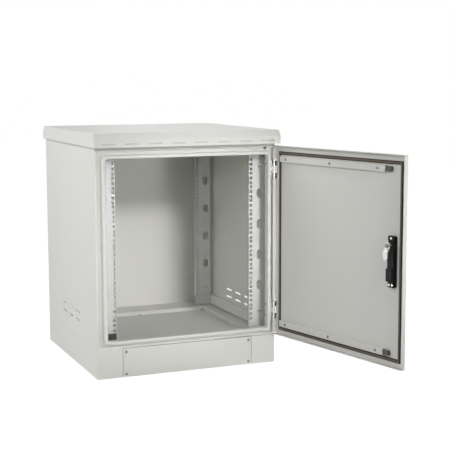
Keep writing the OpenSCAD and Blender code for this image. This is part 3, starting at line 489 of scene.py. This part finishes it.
def nickel_plate():
    """Nickel of the lock plug."""
    finish = settings()[0]
    values = {"Patch Scale": 400.0, "Gloss": 0.22}
    return surfaced_material(
        "nickel_plate", finish.nickel, plate_group(), values,
        metallic=1.0, bump=0.04, bump_depth=0.05 * MM,
    )


FINISHES = {
    "grey_paint": powder_coat,
    "dark_steel": dark_coat,
    "black_plastic": black_moulding,
    "foam": gasket_foam,
    "foam_skin": gasket_skin,
    "zinc": zinc_plate,
    "hardware": bright_zinc,
    "screws": dull_zinc,
    "nickel": nickel_plate,
}


def finish_of(name):
    """The material of a named finish, made once."""
    maker = FINISHES[name]
    return bpy.data.materials.get(maker.__name__) or maker()


def hardware_finish(node):
    """The material of a small steel piece, which differs from the plated sheet."""
    if SLOT_OF[node] != "zinc":
        return finish_of(SLOT_OF[node])
    # Fasteners in the darker set take zinc painted dark as reflection of dark surroundings.
    return finish_of("screws" if node in DARK_REFLECTION_NODES else "hardware")


# Meshes

def plain_object(name, mesh):
    """An object at the origin that holds a mesh."""
    thing = bpy.data.objects.new(name, mesh)
    bpy.context.scene.collection.objects.link(thing)
    return thing


def shade(mesh, angle=CREASE_ANGLE):
    """Smooth faces with sharp creases."""
    mesh.polygons.foreach_set("use_smooth", [True] * len(mesh.polygons))
    mesh.set_sharp_from_angle(angle=angle)


def settle(thing):
    """Turns an object's evaluated shape into a plain mesh and clears its modifiers."""
    graph = bpy.context.evaluated_depsgraph_get()
    mesh = bpy.data.meshes.new_from_object(thing.evaluated_get(graph))
    thing.modifiers.clear()
    old = thing.data
    thing.data = mesh
    bpy.data.meshes.remove(old)
    mesh.name = thing.name


def drop(thing):
    """Removes a pattern object after use."""
    mesh = thing.data
    bpy.data.objects.remove(thing)
    bpy.data.meshes.remove(mesh)


def merged_copy(node):
    """A bmesh of a CAD node with its loose triangles joined along their edges."""
    shape = bmesh.new()
    shape.from_mesh(frame["nodes"][node].data)
    bmesh.ops.remove_doubles(shape, verts=shape.verts, dist=MERGE_DISTANCE)
    return shape


def rounded_piece(node, width, steps, material):
    """A copy of a CAD node with rounded edges, which stands for it."""
    shape = merged_copy(node)
    mesh = bpy.data.meshes.new(node + "_finished")
    shape.to_mesh(mesh)
    shape.free()
    thing = plain_object(node + "_finished", mesh)
    bevel = thing.modifiers.new("edges", "BEVEL")
    bevel.width = width
    bevel.segments = steps
    bevel.limit_method = "ANGLE"
    bevel.angle_limit = EDGE_ANGLE
    bevel.use_clamp_overlap = True
    bevel.miter_outer = "MITER_ARC"
    settle(thing)
    shade(thing.data, EDGE_ANGLE)
    even = thing.modifiers.new("even_shading", "WEIGHTED_NORMAL")
    even.mode = "FACE_AREA"
    even.keep_sharp = True
    settle(thing)
    thing.data.materials.clear()
    thing.data.materials.append(material)
    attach(thing, BODY_OF[node])
    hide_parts(node)
    return thing


def prime_seat(thing, cover):
    """Paints the faces that a cover lies on dark, as painted shade that shows only in the gap round the cover."""
    seat_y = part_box(cover)[1][1]
    thing.data.materials.append(finish_of("dark_steel"))
    for face in thing.data.polygons:
        if abs(face.center.y - seat_y) < SEAT_REACH and face.normal.y < -0.5:
            face.material_index = 1


def span(values):
    """The least and greatest of some numbers, and those nearest their middle from either side."""
    low, high = min(values), max(values)
    middle = (low + high) / 2.0
    return low, high, max(v for v in values if v < middle), min(v for v in values if v > middle)


def gasket_profile(wide, tall):
    """The outline across the gasket: low shoulders, and a domed bead between them."""
    shoulder_w, shoulder_h = GASKET_SHOULDER_WIDTH * wide, GASKET_SHOULDER_HEIGHT * tall
    round_w = GASKET_ROUND_WIDTH * wide
    half = [(0.0, 0.0), (0.0, shoulder_h), (shoulder_w, shoulder_h)]
    for degrees in GASKET_BEND_DEGREES:
        bend = math.radians(degrees)
        rise = GASKET_BEAD_FOOT + (1.0 - GASKET_BEAD_FOOT) * math.sin(bend)
        half.append((shoulder_w + round_w * (1.0 - math.cos(bend)), shoulder_h + (tall - shoulder_h) * rise))
    return half + [(wide - u, v) for u, v in reversed(half)]


def gasket_strip(node, step=12.0 * MM, waver=0.12 * MM):
    """A soft strip with a domed face and mitred corners, which stands for the gasket's plain ring."""
    flat = TO_DOOR.inverted()
    corners = [flat @ vert.co for vert in frame["nodes"][node].data.vertices]
    left, right, left_in, right_in = span([c.x for c in corners])
    low, high, low_in, high_in = span([c.z for c in corners])
    face, back = max(c.y for c in corners), min(c.y for c in corners)
    wide, tall = left_in - left, face - back
    profile = gasket_profile(wide, tall)
    shoulder_h = GASKET_SHOULDER_HEIGHT * tall
    chance = random.Random(GASKET_SEED)
    shape = bmesh.new()
    rings = []
    posts = [(left, low, 1, 1), (right, low, -1, 1), (right, high, -1, -1), (left, high, 1, -1)]
    for (x0, z0, sx0, sz0), (x1, z1, sx1, sz1) in zip(posts, posts[1:] + posts[:1]):
        count = max(2, round((abs(x1 - x0) + abs(z1 - z0)) / step))
        for i in range(count):
            t = i / count
            swell = 0.0 if i == 0 else chance.uniform(-waver, 0.0)
            ring = []
            for u, v in profile:
                x = (x0 + sx0 * u) * (1.0 - t) + (x1 + sx1 * u) * t
                z = (z0 + sz0 * u) * (1.0 - t) + (z1 + sz1 * u) * t
                lift = swell if v > 0.5 * tall else 0.0
                ring.append(shape.verts.new(TO_DOOR @ Vector((x, back + v + lift, z))))
            rings.append(ring)
    for ring, after in zip(rings, rings[1:] + rings[:1]):
        for j in range(len(profile)):
            k = (j + 1) % len(profile)
            side = shape.faces.new((ring[j], ring[k], after[k], after[j]))
            # Faces below the bead get the darker foam as painted shade.
            side.material_index = 0 if min(profile[j][1], profile[k][1]) > shoulder_h else 1
    thing = finish_mesh(shape, node + "_foam")
    thing.data.materials.append(finish_of(SLOT_OF[node]))
    thing.data.materials.append(finish_of("foam_skin"))
    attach(thing, BODY_OF[node])
    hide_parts(node)


def lathe(shape, profile, segments=24):
    """Adds a closed turned form from radius and height pairs that start and end on the axis."""
    rings = []
    for radius, height in profile:
        if radius == 0.0:
            rings.append([shape.verts.new((0.0, 0.0, height))])
            continue
        turn = [2.0 * math.pi * i / segments for i in range(segments)]
        rings.append([shape.verts.new((radius * math.cos(a), radius * math.sin(a), height)) for a in turn])
    for low, high in zip(rings, rings[1:]):
        for i in range(segments):
            j = (i + 1) % segments
            if len(low) == 1:
                shape.faces.new((low[0], high[j], high[i]))
            elif len(high) == 1:
                shape.faces.new((low[i], low[j], high[0]))
            else:
                shape.faces.new((low[i], low[j], high[j], high[i]))


def hexagon_block(shape, across, z0, z1, chamfer):
    """Adds a hexagonal head or nut with its top and bottom corners turned off."""
    sides = HEXAGON_SIDES
    corner = across / 2.0 / math.cos(math.pi / sides)
    end = across / 2.0 * 0.97
    levels = [(end, z0), (corner, z0 + chamfer), (corner, z1 - chamfer), (end, z1)]
    turn = [2.0 * math.pi * i / sides for i in range(sides)]
    rings = []
    for radius, height in levels:
        rings.append([shape.verts.new((radius * math.cos(a), radius * math.sin(a), height)) for a in turn])
    for low, high in zip(rings, rings[1:]):
        for i in range(sides):
            j = (i + 1) % sides
            shape.faces.new((low[i], low[j], high[j], high[i]))
    shape.faces.new(list(reversed(rings[0])))
    shape.faces.new(rings[-1])


def cut_cross(thing, reach, width, depth):
    """Cuts a cross recess into the top of a screw head."""
    cutters = []
    for turned in (False, True):
        shape = bmesh.new()
        bmesh.ops.create_cube(shape, size=1.0)
        size = (width, 2.0 * reach, 2.0 * depth) if turned else (2.0 * reach, width, 2.0 * depth)
        bmesh.ops.scale(shape, vec=size, verts=shape.verts)
        mesh = bpy.data.meshes.new("cross_cutter")
        shape.to_mesh(mesh)
        shape.free()
        cutters.append(plain_object("cross_cutter", mesh))
    for cutter in cutters:
        cut = thing.modifiers.new("cross", "BOOLEAN")
        cut.operation = "DIFFERENCE"
        cut.solver = "EXACT"
        cut.object = cutter
    settle(thing)
    for cutter in cutters:
        drop(cutter)


def finish_mesh(shape, name):
    """Turns a bmesh into an object with outward faces."""
    bmesh.ops.recalc_face_normals(shape, faces=shape.faces)
    mesh = bpy.data.meshes.new(name)
    shape.to_mesh(mesh)
    shape.free()
    shade(mesh)
    return plain_object(name, mesh)


def pan_screw(name, head_r, head_h, shank_r, length):
    """A pan-head screw with a cross recess, its top at zero and its shank downwards."""
    shape = bmesh.new()
    dome = [
        (head_r * math.sin(math.radians(a)), -head_h * 0.75 * (1.0 - math.cos(math.radians(a))))
        for a in (0, 18, 36, 54, 72, 90)
    ]
    tip_r, tip_h, seat_r = shank_r * 0.6, shank_r * 0.5, head_r * 0.96
    profile = [(0.0, -length), (tip_r, -length), (shank_r, -length + tip_h), (shank_r, -head_h)]
    profile += [(seat_r, -head_h)] + dome[:0:-1] + [(0.0, 0.0)]
    lathe(shape, profile)
    thing = finish_mesh(shape, name)
    cut_cross(thing, head_r * 0.55, head_r * 0.2, head_h * 0.55)
    shade(thing.data)
    return thing


def hex_bolt(name, across, head_h, shank_r, length, nut_at=None, nut_h=0.0):
    """A hexagon bolt on a washer, its top at zero and its shank downwards, with a nut at its far side."""
    shape = bmesh.new()
    washer_top = -head_h * 0.78
    hexagon_block(shape, across, washer_top, 0.0, head_h * 0.12)
    washer_r = across * 0.72
    face_r = washer_r * 0.97
    lathe(shape, [
        (0.0, -head_h), (face_r, -head_h), (washer_r, -head_h * 0.97), (washer_r, -head_h * 0.81),
        (face_r, washer_top), (0.0, washer_top),
    ])
    tip_r, tip_h = shank_r * 0.8, shank_r * 0.3
    lathe(shape, [
        (0.0, -length), (tip_r, -length), (shank_r, -length + tip_h), (shank_r, -head_h), (0.0, -head_h),
    ])
    if nut_at is not None:
        hexagon_block(shape, across, -nut_at - nut_h, -nut_at, nut_h * 0.12)
    return finish_mesh(shape, name)


# Fasteners by geometry nodes

def islands(node):
    """The vertices of each separate solid in a CAD node, in the node's own order."""
    shape = merged_copy(node)
    left = set(shape.verts)
    groups = []
    for start in shape.verts:
        if start not in left:
            continue
        left.remove(start)
        group = [start]
        queue = [start]
        while queue:
            for edge in queue.pop().link_edges:
                for vert in edge.verts:
                    if vert in left:
                        left.remove(vert)
                        group.append(vert)
                        queue.append(vert)
        groups.append([vert.co.copy() for vert in group])
    shape.free()
    return groups


def head_points(node, outward):
    """The middle of the outer end, the axis and the length of each fastener in a node.

    Outward is a direction or a function of a place.
    """
    points = []
    for group in islands(node):
        middle = sum(group, Vector()) / len(group)
        axis = outward(middle) if callable(outward) else outward
        side = axis.orthogonal().normalized()
        other = axis.cross(side)
        place = Vector()
        for direction in (side, other):
            reach = [point.dot(direction) for point in group]
            place += direction * (min(reach) + max(reach)) / 2.0
        reach = [point.dot(axis) for point in group]
        points.append((place + axis * max(reach), axis, max(reach) - min(reach)))
    return points


def fastener_tree():
    """Geometry nodes that set one fastener on each point, along the point's axis."""
    found = bpy.data.node_groups.get("fastener_rows")
    if found:
        return found
    tree = bpy.data.node_groups.new("fastener_rows", "GeometryNodeTree")
    tree.interface.new_socket("Geometry", in_out="INPUT", socket_type="NodeSocketGeometry")
    tree.interface.new_socket("Fastener", in_out="INPUT", socket_type="NodeSocketObject")
    tree.interface.new_socket("Finish", in_out="INPUT", socket_type="NodeSocketMaterial")
    seed = tree.interface.new_socket("Turn Seed", in_out="INPUT", socket_type="NodeSocketInt")
    seed.default_value = 3
    tree.interface.new_socket("Geometry", in_out="OUTPUT", socket_type="NodeSocketGeometry")
    nodes, links = tree.nodes, tree.links
    source = nodes.new("NodeGroupInput")
    sink = nodes.new("NodeGroupOutput")
    shape = nodes.new("GeometryNodeObjectInfo")
    links.new(source.outputs["Fastener"], shape.inputs["Object"])
    axis = nodes.new("GeometryNodeInputNamedAttribute")
    axis.data_type = "FLOAT_VECTOR"
    axis.inputs["Name"].default_value = "axis"
    align = nodes.new("FunctionNodeAlignRotationToVector")
    align.axis = "Z"
    links.new(axis.outputs["Attribute"], align.inputs["Vector"])
    angle = nodes.new("FunctionNodeRandomValue")
    angle.data_type = "FLOAT"
    turn_max = next(s for s in angle.inputs if s.name == "Max" and s.type == "VALUE" and s.enabled)
    turn_max.default_value = 2.0 * math.pi
    links.new(source.outputs["Turn Seed"], angle.inputs["Seed"])
    angle_out = next(s for s in angle.outputs if s.type == "VALUE" and s.enabled)
    turn = nodes.new("FunctionNodeAxisAngleToRotation")
    turn.inputs["Axis"].default_value = (0.0, 0.0, 1.0)
    links.new(angle_out, turn.inputs["Angle"])
    spin = nodes.new("FunctionNodeRotateRotation")
    spin.rotation_space = "LOCAL"
    links.new(align.outputs["Rotation"], spin.inputs["Rotation"])
    links.new(turn.outputs["Rotation"], spin.inputs["Rotate By"])
    place = nodes.new("GeometryNodeInstanceOnPoints")
    links.new(source.outputs["Geometry"], place.inputs["Points"])
    links.new(shape.outputs["Geometry"], place.inputs["Instance"])
    links.new(spin.outputs["Rotation"], place.inputs["Rotation"])
    real = nodes.new("GeometryNodeRealizeInstances")
    links.new(place.outputs["Instances"], real.inputs["Geometry"])
    paint = nodes.new("GeometryNodeSetMaterial")
    links.new(real.outputs["Geometry"], paint.inputs["Geometry"])
    links.new(source.outputs["Finish"], paint.inputs["Material"])
    links.new(paint.outputs["Geometry"], sink.inputs["Geometry"])
    return tree


def socket_id(tree, label):
    """The identifier of a tree's named input."""
    return next(
        item.identifier for item in tree.interface.items_tree
        if item.item_type == "SOCKET" and item.in_out == "INPUT" and item.name == label
    )


def set_fasteners(node, make, outward, seed):
    """Sets a fastener at each place of a CAD node of fasteners, which it stands for.

    Make builds the fastener from its length.
    """
    points = head_points(node, outward)
    fastener = make(points[0][2])
    mesh = bpy.data.meshes.new(node + "_detailed")
    mesh.from_pydata([place for place, _, _ in points], [], [])
    attribute = mesh.attributes.new("axis", "FLOAT_VECTOR", "POINT")
    attribute.data.foreach_set("vector", [value for _, axis, _ in points for value in axis])
    thing = plain_object(node + "_detailed", mesh)
    tree = fastener_tree()
    modifier = thing.modifiers.new("rows", "NODES")
    modifier.node_group = tree
    modifier[socket_id(tree, "Fastener")] = fastener
    modifier[socket_id(tree, "Finish")] = hardware_finish(node)
    modifier[socket_id(tree, "Turn Seed")] = seed
    settle(thing)
    shade(thing.data)
    drop(fastener)
    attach(thing, BODY_OF[node])
    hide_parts(node)


# Operators

class CABINET_OT_sheet_metal(bpy.types.Operator):
    """Rounds and coats the folded sheet-metal pieces."""

    bl_idname = "cabinet.sheet_metal"
    bl_label = "Sheet Metal"

    def execute(self, context):
        edges = settings()[1]
        for node in SHEET_NODES + FOOT_NODES:
            # The roof baffle gets the darker zinc as painted shade behind the vents.
            coat = "zinc" if node in VENT_SHADE_NODES else SLOT_OF[node]
            piece = rounded_piece(node, edges.sheet, edges.steps, finish_of(coat))
            # The faces behind the base cover get dark paint as painted shade in the gap round the cover.
            if node == "base_front_frame":
                prime_seat(piece, "base_cover")
        return {"FINISHED"}


class CABINET_OT_rack_rails(bpy.types.Operator):
    """Rounds and plates the punched rack rails."""

    bl_idname = "cabinet.rack_rails"
    bl_label = "Rack Rails"

    def execute(self, context):
        edges = settings()[1]
        for node in RAIL_NODES:
            rounded_piece(node, edges.rail, edges.steps, finish_of(SLOT_OF[node]))
        return {"FINISHED"}


class CABINET_OT_hinges(bpy.types.Operator):
    """Rounds and plates the hinges and other steel hardware."""

    bl_idname = "cabinet.hinges"
    bl_label = "Hinges and Hardware"

    def execute(self, context):
        edges = settings()[1]
        for node in HINGE_NODES + STEEL_NODES:
            rounded_piece(node, edges.rail, edges.steps, hardware_finish(node))
        return {"FINISHED"}


class CABINET_OT_lock(bpy.types.Operator):
    """Rounds and finishes the lock, the handle and the end blocks."""

    bl_idname = "cabinet.lock"
    bl_label = "Lock and Handle"

    def execute(self, context):
        edges = settings()[1]
        for node in PLASTIC_NODES:
            rounded_piece(node, edges.plastic, edges.steps + 1, finish_of(SLOT_OF[node]))
        rounded_piece("lock_plug", edges.rail, edges.steps, finish_of(SLOT_OF["lock_plug"]))
        return {"FINISHED"}


class CABINET_OT_gasket(bpy.types.Operator):
    """Finishes the foam gasket round the door."""

    bl_idname = "cabinet.gasket"
    bl_label = "Door Gasket"

    def execute(self, context):
        gasket_strip("door_gasket")
        return {"FINISHED"}


class CABINET_OT_fasteners(bpy.types.Operator):
    """Sets detailed screws and bolts in place of the plain ones."""

    bl_idname = "cabinet.fasteners"
    bl_label = "Screws and Bolts"

    def execute(self, context):
        up = Vector((0.0, 0.0, 1.0))
        front = Vector((0.0, -1.0, 0.0))
        right = Vector((1.0, 0.0, 0.0))

        def inward(place):
            return right if place.x < 0.0 else -right

        def pan(head_r, head_h, shank_r):
            return lambda length: pan_screw("screw", head_r * MM, head_h * MM, shank_r * MM, length)

        def hexagon(across, head_h, shank_r, nut_h=0.0):
            return lambda length: hex_bolt(
                "bolt", across * MM, head_h * MM, shank_r * MM, length,
                length - nut_h * MM if nut_h else None, nut_h * MM,
            )

        # Head radius or width across flats, head height, shank radius and nut height, in millimetres
        jobs = (
            ("base_cover_screws", pan(4.4, 2.4, 2.0), front),
            ("gland_plate_screws", pan(5.0, 2.5, 2.5), up),
            ("door_rail_screws", pan(4.5, 2.0, 2.5), DOOR_IN),
            ("lock_screws", pan(4.0, 2.2, 2.0), DOOR_IN),
            ("rail_foot_bolts", hexagon(10.0, 4.0, 3.0, 4.0), inward),
            ("roof_bolts", hexagon(13.0, 5.3, 4.0), -up),
            ("hinge_bolts", hexagon(8.0, 3.5, 2.5, 4.0), right),
            ("cam_bolt", hexagon(10.0, 5.0, 3.0), DOOR_IN),
        )
        for seed, (node, make, outward) in enumerate(jobs):
            set_fasteners(node, make, outward, seed)
        return {"FINISHED"}


# Studio

def aim_lamp(lamp, place, target):
    """Puts a lamp in its place and points it at a target."""
    thing = bpy.data.objects.new(lamp.name, lamp)
    bpy.context.scene.collection.objects.link(thing)
    thing.location = place
    thing.rotation_euler = (Vector(target) - Vector(place)).to_track_quat("-Z", "Y").to_euler()


def area_lamp(name, place, target, size, power):
    """A square area lamp that points at a target."""
    lamp = bpy.data.lights.new(name, "AREA")
    lamp.shape = "SQUARE"
    lamp.size = size
    lamp.energy = power
    aim_lamp(lamp, place, target)


def spot_lamp(name, place, target, cone, power):
    """A soft-edged spot that points at a target."""
    lamp = bpy.data.lights.new(name, "SPOT")
    lamp.spot_size = math.radians(cone)
    lamp.spot_blend = SPOT_BLEND
    lamp.shadow_soft_size = SPOT_RADIUS
    lamp.energy = power
    aim_lamp(lamp, place, target)


def seen_directly(tree):
    """One for camera, glossy and transmitted rays, zero for the light that falls on the object."""
    path = tree.nodes.new("ShaderNodeLightPath")
    seen = math_node(tree, "ADD", path.outputs["Is Camera Ray"], path.outputs["Is Glossy Ray"], clamp=True)
    return math_node(tree, "ADD", seen, path.outputs["Is Transmission Ray"], clamp=True)


class CABINET_OT_stage(bpy.types.Operator):
    """Sets the pale floor, the soft studio light and the camera."""

    bl_idname = "cabinet.stage"
    bl_label = "Studio"

    def execute(self, context):
        studio = settings()[2]
        scene = context.scene
        scene.view_settings.view_transform = "Standard"
        self.add_camera(scene, studio)
        self.add_floor()
        self.add_light(scene, studio)
        return {"FINISHED"}

    def add_camera(self, scene, studio):
        camera = bpy.data.cameras.new("camera")
        camera.sensor_width = SENSOR_WIDTH
        camera.lens = studio.lens
        camera.clip_start = 0.05
        camera.clip_end = 60.0
        thing = bpy.data.objects.new("camera", camera)
        scene.collection.objects.link(thing)
        turn = (
            Matrix.Rotation(-studio.yaw, 4, "Z")
            @ Matrix.Rotation(math.pi / 2.0 - studio.pitch, 4, "X")
            @ Matrix.Rotation(studio.roll, 4, "Z")
        )
        thing.matrix_world = Matrix.Translation(studio.eye) @ turn
        scene.camera = thing

    def add_floor(self):
        corners = [(x * FLOOR_HALF, y * FLOOR_HALF, 0.0) for x, y in ((-1, -1), (1, -1), (1, 1), (-1, 1))]
        mesh = bpy.data.meshes.new("floor")
        mesh.from_pydata(corners, [], [(0, 1, 2, 3)])
        floor = plain_object("floor", mesh)
        floor.location.z = -FLOOR_DROP
        material = bpy.data.materials.new("pale_floor")
        material.use_nodes = True
        tree = material.node_tree
        shader = tree.nodes["Principled BSDF"]
        shader.inputs["Base Color"].default_value = (0.86, 0.86, 0.86, 1.0)
        shader.inputs["Roughness"].default_value = 0.9
        shader.inputs["Specular IOR Level"].default_value = 0.1
        glow = tree.nodes.new("ShaderNodeEmission")
        glow.inputs["Strength"].default_value = FLOOR_GLOW
        blend = tree.nodes.new("ShaderNodeMixShader")
        share = math_node(tree, "MULTIPLY", seen_directly(tree), FLOOR_GLOW_SHARE)
        tree.links.new(share, blend.inputs["Fac"])
        tree.links.new(shader.outputs["BSDF"], blend.inputs[1])
        tree.links.new(glow.outputs["Emission"], blend.inputs[2])
        tree.links.new(blend.outputs["Shader"], tree.nodes["Material Output"].inputs["Surface"])
        mesh.materials.append(material)

    def add_light(self, scene, studio):
        world = bpy.data.worlds.new("studio")
        world.use_nodes = True
        scene.world = world
        tree = world.node_tree
        room = tree.nodes["Background"]
        room.inputs["Color"].default_value = (1.0, 1.0, 1.0, 1.0)
        room.inputs["Strength"].default_value = studio.ambient
        white = tree.nodes.new("ShaderNodeBackground")
        white.inputs["Color"].default_value = (1.0, 1.0, 1.0, 1.0)
        blend = tree.nodes.new("ShaderNodeMixShader")
        tree.links.new(seen_directly(tree), blend.inputs["Fac"])
        tree.links.new(room.outputs["Background"], blend.inputs[1])
        tree.links.new(white.outputs["Background"], blend.inputs[2])
        tree.links.new(blend.outputs["Shader"], tree.nodes["World Output"].inputs["Surface"])
        area_lamp("top_lamp", (-0.2, -0.3, 2.6), (-0.2, -0.3, 0.0), 2.6, studio.top)
        area_lamp("left_lamp", (-1.7, 0.1, 1.6), (-0.3, 0.0, 0.4), 1.0, studio.left)
        area_lamp("front_lamp", (-2.2, -2.4, 2.0), (0.2, -0.3, 0.4), 1.0, studio.front)
        area_lamp("right_lamp", (2.3, -2.4, 1.0), (0.4, -0.6, 0.4), 1.0, studio.right)
        area_lamp("rear_lamp", (1.2, 2.6, 1.4), (0.1, 0.3, 0.4), 1.2, studio.rear)
        spot_lamp("inside_spot", (0.3, -3.6, 1.7), (0.02, -0.1, 0.33), 10.6, studio.inside)
        spot_lamp("low_inside_spot", (0.6, -3.6, 0.55), (0.0, 0.0, 0.48), 9.0, studio.inside_low)
        spot_lamp("left_inside_spot", (-2.2, -3.0, 1.0), (0.0, -0.3, 0.42), 8.5, studio.inside_left)
        spot_lamp("edge_spot", (2.6, -2.6, 1.3), (0.45, -0.9, 0.40), 13.0, studio.edge)


class CABINET_PT_panel(bpy.types.Panel):
    """Lists the steps and settings of the cabinet."""

    bl_idname = "CABINET_PT_panel"
    bl_label = "Cabinet"
    bl_space_type = "VIEW_3D"
    bl_region_type = "UI"
    bl_category = "Cabinet"

    def draw(self, context):
        for step in STEPS:
            self.layout.operator(step.bl_idname)
        for group in settings():
            box = self.layout.box()
            for name in group.__annotations__:
                box.prop(group, name)


STEPS = (
    CABINET_OT_sheet_metal,
    CABINET_OT_rack_rails,
    CABINET_OT_hinges,
    CABINET_OT_lock,
    CABINET_OT_gasket,
    CABINET_OT_fasteners,
    CABINET_OT_stage,
)
GROUPS = (CabinetFinish, CabinetEdges, CabinetStudio)
CLASSES = GROUPS + STEPS + (CABINET_PT_panel,)


def register():
    for item in CLASSES:
        bpy.utils.register_class(item)
    bpy.types.Scene.cabinet_finish = PointerProperty(type=CabinetFinish)
    bpy.types.Scene.cabinet_edges = PointerProperty(type=CabinetEdges)
    bpy.types.Scene.cabinet_studio = PointerProperty(type=CabinetStudio)


def unregister():
    del bpy.types.Scene.cabinet_studio
    del bpy.types.Scene.cabinet_edges
    del bpy.types.Scene.cabinet_finish
    for item in reversed(CLASSES):
        bpy.utils.unregister_class(item)


def main():
    register()
    bpy.ops.cabinet.sheet_metal()
    bpy.ops.cabinet.rack_rails()
    bpy.ops.cabinet.hinges()
    bpy.ops.cabinet.lock()
    bpy.ops.cabinet.gasket()
    bpy.ops.cabinet.fasteners()
    bpy.ops.cabinet.stage()


if __name__ == "__main__":
    main()
